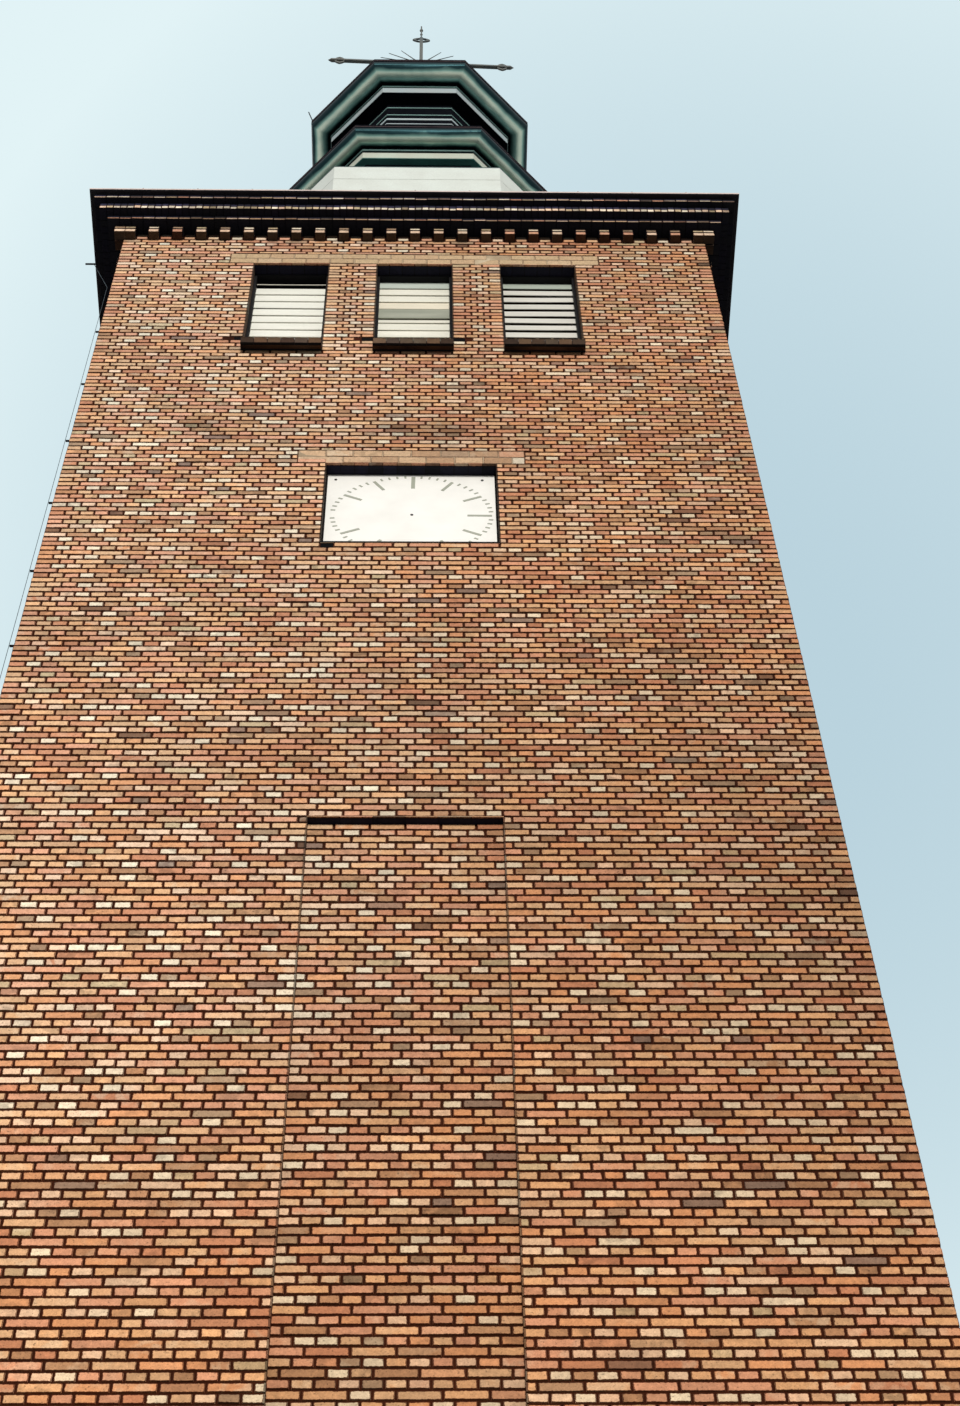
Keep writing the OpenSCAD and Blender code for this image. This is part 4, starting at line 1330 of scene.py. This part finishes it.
class TOWER_OT_dials(bpy.types.Operator):
    """Puts the bars, ticks, screws and steel angles on the four clock plates; the angles and a strip
    under each plate are near black, painted as the shade of the gaps round it
    """

    bl_idname = "tower.dials"
    bl_label = "Clock dials"

    def execute(self, context):
        dial, openings = context.scene.tower_dial, context.scene.tower_openings
        plate = shared("vitreous enamel plate", enamel, dial.plate, 0.35)
        grey = shared("grey enamel marks", enamel, dial.marks, 0.5)
        dark = shared("dark iron screws", sheet_metal, "#2e2f30", "#5a5048", 0.5, 0.6)
        angle_and_gap_shade = shared("tarred steel angle", sheet_metal, "#070606", "#160d0b", 0.7, specular=0.1)
        place_node([f"clock_dial_{side}" for side in SIDES], plate)
        plate_z, half_h = (DIAL_LOW.z + DIAL_HIGH.z) / 2, (DIAL_HIGH.z - DIAL_LOW.z) / 2
        half_w, centre_z, out = DIAL_HIGH.x, plate_z - dial.drop, -HALF - DIAL_LOW.y
        for side, name in enumerate(SIDES):
            marks, angles = Blocks(), Blocks()
            for minute in range(60):
                # The bar at nine o'clock is missing
                if minute != 45:
                    corners = self.mark_corners(dial, minute, half_h)
                    near, far = [[(dial.shift + u, centre_z + z, out + proud) for u, z in corners]
                                 for proud in (0.0012, -0.0005)]
                    marks.add(side, near, far)
            marks.build(f"{name}_dial_marks", "dial_enamel", grey)
            heads = [disc(dial.shift, centre_z, out - 0.0005, 0.007, 0.0025)]
            heads += [disc(u, centre_z + z, out - 0.0005, 0.0065, 0.003, around=10) for u, z in SCREWS]
            points, faces = join_shapes(heads)
            new_piece(f"{name}_dial_screws", on_side(side, points), faces, "dial_enamel", dark)
            # The steel angles at the plate's sides and foot are near black: painted shade of the gaps
            # between plate and recess
            for left, right, foot, head in ((-half_w - 0.003, -half_w + 0.006, -half_h, half_h),
                                            (half_w - 0.006, half_w + 0.003, -half_h, half_h),
                                            (-half_w, half_w, -half_h - 0.003, -half_h + 0.005)):
                angles.add_slab(side, left, right, plate_z + foot, plate_z + head, out + 0.004,
                                out - 0.004)
            # A near black strip stands on the sill of the recess, at the wall face: painted shade in
            # front of the plate's foot
            half, sill = openings.clock_half - 0.001, openings.clock_sill
            angles.add_slab(side, -half, half, sill - 0.001, sill + 0.012, 0.0046, -0.004)
            angles.build(f"{name}_dial_angles", "dial_enamel", angle_and_gap_shade)
        return {"FINISHED"}

    @staticmethod
    def mark_corners(dial, minute, half_h):
        """Corners of the mark at a minute, right and up from the dial's centre"""
        if minute % 5:
            near_r, far_r, wide = TICK_START, TICK_START + dial.tick, dial.tick_w
        else:
            near_r = dial.long_inner if minute in (0, 15) else dial.inner
            far_r, wide = dial.outer, dial.twelve_w if minute == 0 else dial.bar_w
        a = math.radians(6 * minute + dial.turn)
        along = np.array([math.sin(a), math.cos(a)])
        across = np.array([math.cos(a), -math.sin(a)]) * wide / 2
        # The marks end short of the plate's upper and lower edges
        room = half_h - 0.004 + (dial.drop if along[1] > 0 else -dial.drop)
        far_r = min(far_r, room / max(abs(along[1]), 0.001))
        return [along * near_r + across, along * far_r + across, along * far_r - across,
                along * near_r - across]


# Louvres

# The front's boards that differ, by window and board from below: paint, stained share, height
FRONT_BOARDS = {
    (0, 11): ("#f3ecdc", 0.3, 0.008),
    (1, 11): ("#c6d0c6", 0.3, 0.088),
    (1, 8): ("#f0e6cf", 0.3, 0.090),
    (1, 7): ("#a3a594", 0.8, 0.135),
    (1, 3): ("#a8a894", 0.6, 0.090),
    (2, 11): ("#b4bfb2", 0.3, 0.082),
}

# Paint, stained share, height, lean and unevenness of the boards in each window
WINDOW_BOARDS = (
    ("#f2f1e5", 0.13, 0.0875, 4.5, 0.0012),
    ("#efecdc", 0.22, 0.0875, 4.5, 0.0006),
    ("#dedad0", 0.25, 0.0735, 6.5, 0.0010),
)


def board_shape(left, right, foot_z, depth, board_h, board_t, lean, chance, warp):
    """A louvre board with eased edges, a little bowed, as points right, up, out on a side"""
    segments = 6
    c = board_t / 2
    profile = [(-c, -board_h / 2 + c * 0.5), (-c * 0.5, -board_h / 2), (c * 0.5, -board_h / 2),
               (c, -board_h / 2 + c * 0.5), (c, board_h / 2 - c * 0.5), (c * 0.5, board_h / 2),
               (-c * 0.5, board_h / 2), (-c, board_h / 2 - c * 0.5)]
    tilt = chance.normal(0, 0.5)
    bow = chance.normal(0, warp)
    drop = chance.normal(0, warp * 0.8)
    slant = chance.normal(0, warp)
    points, faces = [], []
    for i in range(segments + 1):
        s = i / segments
        u = left + (right - left) * s
        z = foot_z + drop + slant * (s - 0.5) * 2 + bow * (4 * s * (1 - s) - 0.5)
        angle = math.radians(lean + tilt)
        for out, up in profile:
            points.append((u, z + up * math.cos(angle) + out * math.sin(angle),
                           depth + out * math.cos(angle) - up * math.sin(angle)))
    n = len(profile)
    for i in range(segments):
        for k in range(n):
            a, b = i * n + k, i * n + (k + 1) % n
            faces.append((a, a + n, b + n, b))
    faces.append(tuple(range(n)))
    faces.append(tuple(reversed(range(segments * n, (segments + 1) * n))))
    return points, faces


class TOWER_OT_louvres(bpy.types.Operator):
    """Hangs the louvre boards, each a little crooked, in their weathered frames"""

    bl_idname = "tower.louvres"
    bl_label = "Louvre boards"

    def execute(self, context):
        louvres, openings = context.scene.tower_louvres, context.scene.tower_openings
        timber = shared("weathered frame timber", bare_timber, louvres.frame, (1, 1, 0.1))
        place_node(["louvre_frames"], timber)
        low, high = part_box("louvre_frames")
        frame_w = 0.016
        depth = -(openings.window_depth + 0.035)
        pitch = (high.z - low.z - 2 * frame_w) / 12
        half = openings.window_half - frame_w
        for side, name in enumerate(SIDES):
            groups = {}
            chance = np.random.default_rng([7, side])
            for window, x in enumerate(window_places(openings)):
                *look, lean, warp = WINDOW_BOARDS[window]
                for board in range(12):
                    paint, stained, tall = FRONT_BOARDS.get((window, board), look) if side == 0 else look
                    z, out = low.z + frame_w + (board + 0.5) * pitch, depth
                    # A board that slid hangs lower, in front of the next one
                    if tall > pitch * 1.2:
                        z -= (tall - look[2]) / 2
                        out += 0.006
                    shape = board_shape(x - half, x + half, z, out, tall, louvres.board_t,
                                        lean, chance, warp)
                    groups.setdefault((paint, stained), []).append(shape)
            materials = [shared(f"chalky oil paint {paint[1:]} {round(100 * stained)}", painted_timber,
                                paint, louvres.stain, run=(0.3, 0.3, 1.6), stained=stained)
                         for paint, stained in groups]
            merged = [join_shapes(shapes) for shapes in groups.values()]
            points, faces = join_shapes(merged)
            piece = new_piece(f"{name}_louvre_boards", on_side(side, points), faces, "white_timber",
                              *materials)
            indices = np.repeat(np.arange(len(merged)), [len(some) for _, some in merged])
            piece.data.polygons.foreach_set("material_index", indices.astype(np.int32))
            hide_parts(f"louvre_boards_{name}")
        return {"FINISHED"}


# Roof edge, tower roof, floors and door

class TOWER_OT_roof(bpy.types.Operator):
    """Finishes the metal roof edge, the low roof with its seams, and the belfry's floors"""

    bl_idname = "tower.roof"
    bl_label = "Roof and floors"

    def execute(self, context):
        cornice, timber = context.scene.tower_cornice, context.scene.tower_timber
        # The edge is nearly black as painted shade on its underside, which is most of what shows
        edge = shared("sooty painted steel", sheet_metal, cornice.edge, "#18141b", roughness=0.65,
                      specular=0.2)
        roof = shared("red brown painted steel", sheet_metal, cornice.roof, "#8a6152", roughness=0.5)
        lip = shared("weathered zinc lip", sheet_metal, cornice.lip, "#8c7d76", roughness=0.45)
        sawn = shared("sawn pine", bare_timber, timber.sawn, (0.1, 1, 1))
        place_node(["roof_edge"], edge)
        place_node(["tower_roof"], roof)
        place_node(["belfry_floor", "belfry_ceiling"], sawn)
        e = EDGE_HALF
        bead = ring([(e - 0.004, EDGE_Z + 0.004), (e + 0.001, EDGE_Z + 0.005),
                     (e + 0.001, ROOF_Z + 0.001), (e - 0.003, ROOF_Z + 0.004),
                     (e - 0.010, ROOF_Z + 0.002)], 4)
        new_piece("roof_edge_lip", *bead, "edge_metal", lip)
        drip = ring([(e - 0.012, EDGE_Z + 0.002), (e - 0.012, EDGE_Z - 0.003),
                     (e - 0.003, EDGE_Z - 0.003), (e - 0.003, EDGE_Z + 0.002)], 4)
        new_piece("roof_edge_drip", *drip, "edge_metal", edge)
        self.add_seams(context.scene.tower_lantern.seam_pitch, roof)
        return {"FINISHED"}

    def add_seams(self, pitch, material):
        """Standing seams up the four slopes of the low roof"""
        rise = math.tan(math.radians(20))
        diagonal = BASE_A * math.sqrt(2)
        seams = Blocks()
        reach = int(EDGE_HALF / pitch)
        for side in range(4):
            for k in range(-reach, reach + 1):
                u, start = k * pitch, EDGE_HALF - 0.002
                end = BASE_A if abs(u) < BASE_A * math.tan(math.pi / 8) else diagonal - abs(u)
                end = max(end, abs(u))
                if EDGE_HALF - end < 0.05:
                    continue
                near = [(u + half, ROOF_Z + (EDGE_HALF - at) * rise + 0.014, at - HALF)
                        for half, at in ((-0.004, start), (0.004, start), (0.004, end), (-0.004, end))]
                seams.add(side, near, [(a, z - 0.018, w) for a, z, w in near])
        seams.build("roof_seams", "roof_sheet", material)


class TOWER_OT_door(bpy.types.Operator):
    """Boards the door and finishes its frame, threshold and floor"""

    bl_idname = "tower.door"
    bl_label = "Door"

    def execute(self, context):
        timber = context.scene.tower_timber
        larch = shared("oiled larch boards", bare_timber, timber.door, (1, 1, 0.1), roughness=0.55)
        frame_larch = shared("oiled larch frame", bare_timber, timber.door_frame, (1, 1, 0.1),
                             roughness=0.6)
        concrete = shared("cast concrete", cast_concrete, timber.concrete)
        iron = shared("black iron", sheet_metal, "#26282a", "#5b4638", roughness=0.5, metallic=0.5)
        place_node(["entrance_door"], larch)
        place_node(["door_frame"], frame_larch)
        place_node(["door_threshold", "ground_floor"], concrete)
        low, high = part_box("entrance_door")
        face = -HALF - low.y
        out = face + 0.006
        boards, fittings = Blocks(), Blocks()
        count = round((high.x - low.x) / timber.board)
        wide = (high.x - low.x) / count
        for k in range(count):
            a, b = low.x + k * wide, low.x + (k + 1) * wide
            boards.add(0, upright(a + 0.003, b - 0.003, low.z + 0.006, high.z - 0.004, out),
                       upright(a + 0.0005, b - 0.0005, low.z + 0.004, high.z - 0.002, face - 0.001))
        boards.build("door_boards", "door_timber", larch)
        # Strap hinges that narrow away from the jamb, and the plate behind the handle
        left, right = low.x + 0.01, high.x - 0.16
        for z in (low.z + 0.16, high.z - 0.16):
            near, far = [[(left, z - 0.014, w), (right, z - 0.009, w), (right, z + 0.009, w),
                          (left, z + 0.014, w)] for w in (out + 0.004, out - 0.001)]
            fittings.add(0, near, far)
        z = (low.z + high.z) / 2
        fittings.add_slab(0, high.x - 0.055, high.x - 0.03, z - 0.045, z + 0.045, out + 0.003,
                          out - 0.001)
        fittings.build("door_ironwork", "iron", iron)
        bend = ((0.0425, 0.003), (0.0425, 0.02), (0.048, 0.024), (0.095, 0.024))
        handle = tube([(high.x - u, -HALF - out - w, z + 0.02) for u, w in bend], 0.005, around=12)
        new_piece("door_handle", *handle, "iron", iron, smooth=True)
        return {"FINISHED"}


# Lantern

# Radius of each storey's copper roll and height of the fillet under it
ROLLS = {"lower": (0.070, 0.052), "upper": (0.084, 0.034)}

# Foot and head of each thin line and of each white rail round the upper drum
DRUM_LINES = ((18.822, 18.834), (18.672, 18.684))
DRUM_RAILS = ((18.572, 18.604), (18.485, 18.499))


def roll_outline(wall, fascia, eave, low, high, roll, steps=24):
    """Outline of a copper roll, with the finish of each stretch and how much painted highlight each point
    takes

    Finishes: 0 copper roll, 1 blackened, 2 pinkish zinc.
    """
    radius, fillet = roll
    middle, mid_z = eave - radius, low + fillet + radius
    degrees = [225 + 135 * i / steps for i in range(steps + 1)]
    outline = [(wall - 0.04, low), (fascia, low), (fascia, low + fillet)]
    outline += [(middle + radius * math.cos(a), mid_z + radius * math.sin(a))
                for a in map(math.radians, degrees)]
    outline += [(eave, high - 0.030), (eave, high - 0.026), (eave, high), (wall - 0.04, high)]
    finish = [1, 1, 1] + [0] * steps + [1, 2, 1, 1, 1]
    # The painted highlight is strongest just past the belly's lowest point, and falls off less sharply
    # inwards
    belly = [math.exp(-((a - 288) / (20 if a > 288 else 36)) ** 2) for a in degrees]
    return outline, finish, [0, 0, 0] + belly + [0, 0, 0, 0]


def octagon_hips(curve, radius):
    """Round rolls up the eight corners of a roof, from its [apothem, height] line"""
    shapes = []
    corner = math.cos(math.pi / 8)
    for k in range(8):
        a = math.radians(45 * k + 22.5)
        points = [(d / corner * math.cos(a), d / corner * math.sin(a), z) for d, z in curve]
        shapes.append(tube(points, radius))
    return join_shapes(shapes)


class TOWER_OT_lantern(bpy.types.Operator):
    """Dresses the lantern: white boards, copper rolls and roofs, dark drums and white fascias"""

    bl_idname = "tower.lantern"
    bl_label = "Lantern"

    def execute(self, context):
        lantern = context.scene.tower_lantern
        white = shared("white painted boards", painted_timber, lantern.white, "#b9b7ac", roughness=0.55,
                       stained=0.25)
        trims = {storey: shared(f"{storey} white fascia", painted_timber, paint, "#b7a596",
                                roughness=0.5, stained=0.3)
                 for storey, paint in (("lower", lantern.lower_trim), ("upper", lantern.upper_trim))}
        copper = shared("patinated sheet copper", sheet_metal, lantern.copper, "#3f625b", roughness=0.4,
                        metallic=0.1)
        rolled = shared("rubbed copper roll", rolled_copper, lantern.copper, lantern.rubbed,
                        lantern.crest)
        drum = shared("blackened sheet copper", sheet_metal, lantern.drum, "#0a0d14", roughness=0.8,
                      specular=0.03)
        lip = shared("pinkish zinc edge", sheet_metal, lantern.lip, "#8d7470", roughness=0.5)
        line = shared("pale lead lines", sheet_metal, lantern.line, "#6f8480", roughness=0.5)
        soffit = shared("dark green soffit boards", painted_timber, lantern.soffit, "#0c2420")
        place_node(["lower_drum", "upper_drum"], drum)
        for storey, trim in trims.items():
            place_node([f"{storey}_fascia"], trim)
        place_node(["lantern_skirt_roof", "lower_roof", "hood_roof"], copper)
        self.add_base(lantern, white)
        self.add_storey("lower", (rolled, drum, lip), line, soffit)
        self.add_storey("upper", (rolled, drum, lip), line, drum)
        self.add_bands(trims["upper"], line)
        self.add_hips(copper)
        return {"FINISHED"}

    def add_base(self, lantern, white):
        """White boards with narrow grooves between them"""
        a, z, levels = BASE_A, LOWER_Z, []
        while z - lantern.board > EDGE_Z + 0.05:
            z -= lantern.board
            levels.append(z)
        outline = [(a - 0.04, EDGE_Z), (a, EDGE_Z)]
        for z in reversed(levels):
            outline += [(a, z - 0.0025), (a - 0.005, z - 0.001), (a - 0.005, z + 0.001), (a, z + 0.0025)]
        outline += [(a, LOWER_Z), (a - 0.04, LOWER_Z)]
        piece = new_piece("lantern_base_boards", *ring(outline, 8), "white_timber", white)
        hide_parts("lantern_base")

    def add_storey(self, storey, finishes, line, soffit):
        """The copper roll over a drum's fascia, its thin lines, and the dark boards below"""
        low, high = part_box(f"{storey}_cornice")
        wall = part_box(f"{storey}_drum")[1].x
        fascia_low, fascia_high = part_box(f"{storey}_fascia")
        fascia = fascia_high.x
        outline, finish, rubbed = roll_outline(wall, fascia, high.x, low.z, high.z, ROLLS[storey])
        piece = new_piece(f"{storey}_copper_roll", *ring(outline, 8), "copper", *finishes)
        piece.data.polygons.foreach_set("material_index", np.tile(finish, 8).astype(np.int32))
        # Each point's share of the roll's painted highlight
        note(piece.data, "rubbed", "FLOAT", "POINT", np.tile(rubbed, 8))
        shade_round(piece, 40)
        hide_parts(f"{storey}_cornice")
        z = low.z + ROLLS[storey][1]
        new_piece(f"{storey}_fillet_line", *band(fascia - 0.002, fascia + 0.007, z - 0.026, z - 0.002),
                  "copper", line)
        z = fascia_low.z
        new_piece(f"{storey}_soffit_boards", *band(wall + 0.0005, fascia - 0.003, z - 0.004, z + 0.001),
                  "copper", soffit)

    def add_bands(self, trim, line):
        """Thin mouldings and the white panel rails on the upper drum"""
        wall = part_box("upper_drum")[1].x
        for name, levels, material in (("lines", DRUM_LINES, line), ("rails", DRUM_RAILS, trim)):
            shapes = [band(wall - 0.002, wall + 0.006, low, high) for low, high in levels]
            new_piece(f"upper_drum_{name}", *join_shapes(shapes), "copper", material)

    def add_hips(self, copper):
        """Rolls on the corners of the skirt roof, the flared roof and the hood"""
        drum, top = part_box("lower_drum")[1].x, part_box("lantern_skirt_roof")[1].z
        curves = {"skirt_roof": [(BASE_A - 0.004, LOWER_Z + 0.014), (drum, top)]}
        for name in ("lower_roof", "hood_roof"):
            co = np.array([v.co for v in frame["nodes"][name].data.vertices])
            curves[name] = [(float(np.max(np.abs(co[np.abs(co[:, 2] - z) < NEARLY, 0]))), float(z))
                            for z in sorted(set(np.round(co[:, 2], 4)))]
        for name, curve in curves.items():
            new_piece(f"{name}_hips", *octagon_hips(curve, 0.008), "copper", copper, smooth=True)


def shade_round(piece, angle):
    """Smooth shading over edges flatter than an angle in degrees, kept in the mesh"""
    mesh = piece.data
    mesh.polygons.foreach_set("use_smooth", [True] * len(mesh.polygons))
    mesh.set_sharp_from_angle(angle=math.radians(angle))


# Cross, ball and small ironwork

class TOWER_OT_ironwork(bpy.types.Operator):
    """Finishes the ball, the cross and the lightning conductor"""

    bl_idname = "tower.ironwork"
    bl_label = "Ironwork"

    def execute(self, context):
        iron_set = context.scene.tower_iron
        iron = shared("painted wrought iron", sheet_metal, iron_set.iron, "#8a7f6c", roughness=0.5,
                      metallic=0.2)
        brass = shared("dulled brass", sheet_metal, iron_set.ball, "#5a5238", roughness=0.4, metallic=0.9)
        steel = shared("galvanised steel", sheet_metal, iron_set.steel, "#59666e", roughness=0.6,
                       specular=0.2)
        place_node(["finial_cross", "finial_rays"], iron)
        place_node(["finial_ball"], brass)
        black = shared("tarred iron clips", sheet_metal, "#101114", "#1a1a1c", roughness=0.7,
                       specular=0.1)
        place_node(["conductor_clips", "eaves_rod"], black)
        self.add_wire(steel)
        return {"FINISHED"}

    def add_wire(self, steel):
        """The bare wire, thinner than the solid's rod: up the wall and across to the roof edge"""
        co = np.array([v.co for v in frame["nodes"]["conductor_wire"].data.vertices])
        low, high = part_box("conductor_wire")
        foot = co[co[:, 2] < low.z + NEARLY].mean(axis=0)
        end = co[co[:, 2] > high.z - NEARLY].mean(axis=0)
        # The wire bends where the wall's stretch ends, below the roof edge
        on_wall = co[np.abs(co[:, 0] - foot[0]) < 0.0055]
        bend = (foot[0], foot[1], on_wall[:, 2].max() - 0.003)
        shape = tube([foot, bend, (end[0], end[1], EDGE_Z - 0.002), end], 0.0013)
        piece = new_piece("conductor_bare_wire", *shape, "wire_steel", steel, smooth=True)
        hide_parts("conductor_wire")


# Stage

# The background is darkest opposite this direction, a little right of the front view's middle, and
# pales with the angle from there
PALING, PALING_START = (-1.954, -9.707, -14.936), 17.886


class TOWER_OT_stage(bpy.types.Operator):
    """Sets up the floor, the pale background, the lamps and the camera low in front of the tower"""

    bl_idname = "tower.stage"
    bl_label = "Studio"

    def execute(self, context):
        studio = context.scene.tower_studio
        self.add_floor(studio)
        self.set_world(context.scene, studio)
        self.add_sun("main_sun", studio.sun, azimuth=3, elevation=15, softness=14)
        self.add_sun("back_fill_sun", studio.fill, azimuth=205, elevation=35, softness=60)
        self.add_camera(context.scene)
        context.scene.view_settings.view_transform = "Standard"
        return {"FINISHED"}

    def add_floor(self, studio):
        """A wide pale floor that keeps the tower's shadow and sends little light back up"""
        material = bpy.data.materials.new("pale studio floor")
        material.use_nodes = True
        tree = material.node_tree
        seen = seen_by(tree, "Is Camera Ray", "Is Glossy Ray", "Is Transmission Ray")
        tint = tinted(tree, (seen, hex_colour("#2a2928"), studio.floor))
        feed(tree, tree.nodes["Principled BSDF"], {"Base Color": tint, "Roughness": 0.9})
        size = 120
        mesh = bpy.data.meshes.new("studio_floor")
        mesh.from_pydata([(-size, -size, 0), (size, -size, 0), (size, size, 0), (-size, size, 0)], [],
                         [(0, 1, 2, 3)])
        mesh.materials.append(material)
        add_object("studio_floor", mesh)

    def set_world(self, scene, studio):
        """Soft light from all round, and a pale background that shows to the camera and through glass"""
        world = bpy.data.worlds.new("studio_world")
        world.use_nodes = True
        scene.world = world
        tree = world.node_tree
        tree.nodes.clear()
        seen = seen_by(tree, "Is Camera Ray", "Is Transmission Ray")
        light = add_node(tree, "ShaderNodeBackground", {"Color": hex_colour("#f4f7fb"),
                                                        "Strength": studio.sky})
        towards = add_node(tree, "ShaderNodeTexCoord").outputs["Generated"]
        slope = add_node(tree, "ShaderNodeVectorMath", {0: towards, 1: PALING},
                         operation="DOT_PRODUCT").outputs["Value"]
        pale = add_node(tree, "ShaderNodeMath", {0: slope, 1: PALING_START}, operation="ADD",
                        use_clamp=True).outputs["Value"]
        shades = tinted(tree, (pale, studio.backdrop, studio.haze))
        backdrop = add_node(tree, "ShaderNodeBackground", {"Color": shades, "Strength": 1.0})
        mix = add_node(tree, "ShaderNodeMixShader", {0: seen, 1: light.outputs["Background"],
                                                     2: backdrop.outputs["Background"]})
        add_node(tree, "ShaderNodeOutputWorld", {"Surface": mix.outputs["Shader"]})

    def add_sun(self, name, strength, azimuth, elevation, softness):
        """A soft lamp far away: azimuth from the front towards the right, in degrees"""
        lamp = bpy.data.lights.new(name, "SUN")
        lamp.energy = strength
        lamp.angle = math.radians(softness)
        lamp.color = (1.0, 0.97, 0.92)
        sun = add_object(name, lamp)
        a, e = math.radians(azimuth), math.radians(elevation)
        towards = Vector((math.sin(a) * math.cos(e), -math.cos(a) * math.cos(e), math.sin(e)))
        sun.rotation_euler = towards.to_track_quat("Z", "Y").to_euler()
        sun.location = towards * 30

    def add_camera(self, scene):
        """A camera at eye height close to the front, looking steeply up"""
        # In radians and metres, fitted to the tower's edges and courses
        pitch, yaw, roll = 0.9908, -0.0380, 0.0285
        place = (0.08415, -6.8614, 1.17655)
        right = Vector((math.cos(yaw), math.sin(yaw), 0))
        forward = Vector((-math.sin(yaw) * math.cos(pitch), math.cos(yaw) * math.cos(pitch),
                          math.sin(pitch)))
        up = right.cross(forward)
        rolled_right = right * math.cos(roll) - up * math.sin(roll)
        rolled_up = right * math.sin(roll) + up * math.cos(roll)
        data = bpy.data.cameras.new("photo_camera")
        data.lens = 62.89
        data.sensor_width = 36
        data.clip_end = 500
        camera = add_object("photo_camera", data)
        rotation = Matrix((rolled_right, rolled_up, -forward)).transposed()
        camera.matrix_world = Matrix.Translation(place) @ rotation.to_4x4()
        scene.camera = camera


class TOWER_PT_panel(bpy.types.Panel):
    """Sizes, colours and the steps that dress the tower"""

    bl_idname = "TOWER_PT_panel"
    bl_label = "Clock tower"
    bl_space_type = "VIEW_3D"
    bl_region_type = "UI"
    bl_category = "Clock tower"

    def draw(self, context):
        for operator in OPERATORS:
            self.layout.operator(operator.bl_idname)
        for name, group in SETTINGS.items():
            box = self.layout.box()
            box.label(text=group.__doc__)
            for key in group.__annotations__:
                box.prop(getattr(context.scene, name), key)


OPERATORS = (TOWER_OT_stage, TOWER_OT_brickwork, TOWER_OT_flat_arches, TOWER_OT_sills,
             TOWER_OT_cornice, TOWER_OT_dials, TOWER_OT_louvres, TOWER_OT_roof, TOWER_OT_door,
             TOWER_OT_lantern, TOWER_OT_ironwork)


def register():
    """Registers the classes and hangs the settings on the scene"""
    for group in SETTINGS.values():
        bpy.utils.register_class(group)
    for cls in OPERATORS + (TOWER_PT_panel,):
        bpy.utils.register_class(cls)
    for name, group in SETTINGS.items():
        setattr(bpy.types.Scene, name, PointerProperty(type=group))


def unregister():
    """Takes the settings and the classes away again"""
    for name in SETTINGS:
        delattr(bpy.types.Scene, name)
    for cls in (TOWER_PT_panel,) + OPERATORS[::-1]:
        bpy.utils.unregister_class(cls)
    for group in SETTINGS.values():
        bpy.utils.unregister_class(group)


def main():
    """Dresses the whole tower"""
    register()
    for operator in OPERATORS:
        group, action = operator.bl_idname.split(".")
        getattr(getattr(bpy.ops, group), action)()


if __name__ == "__main__":
    main()
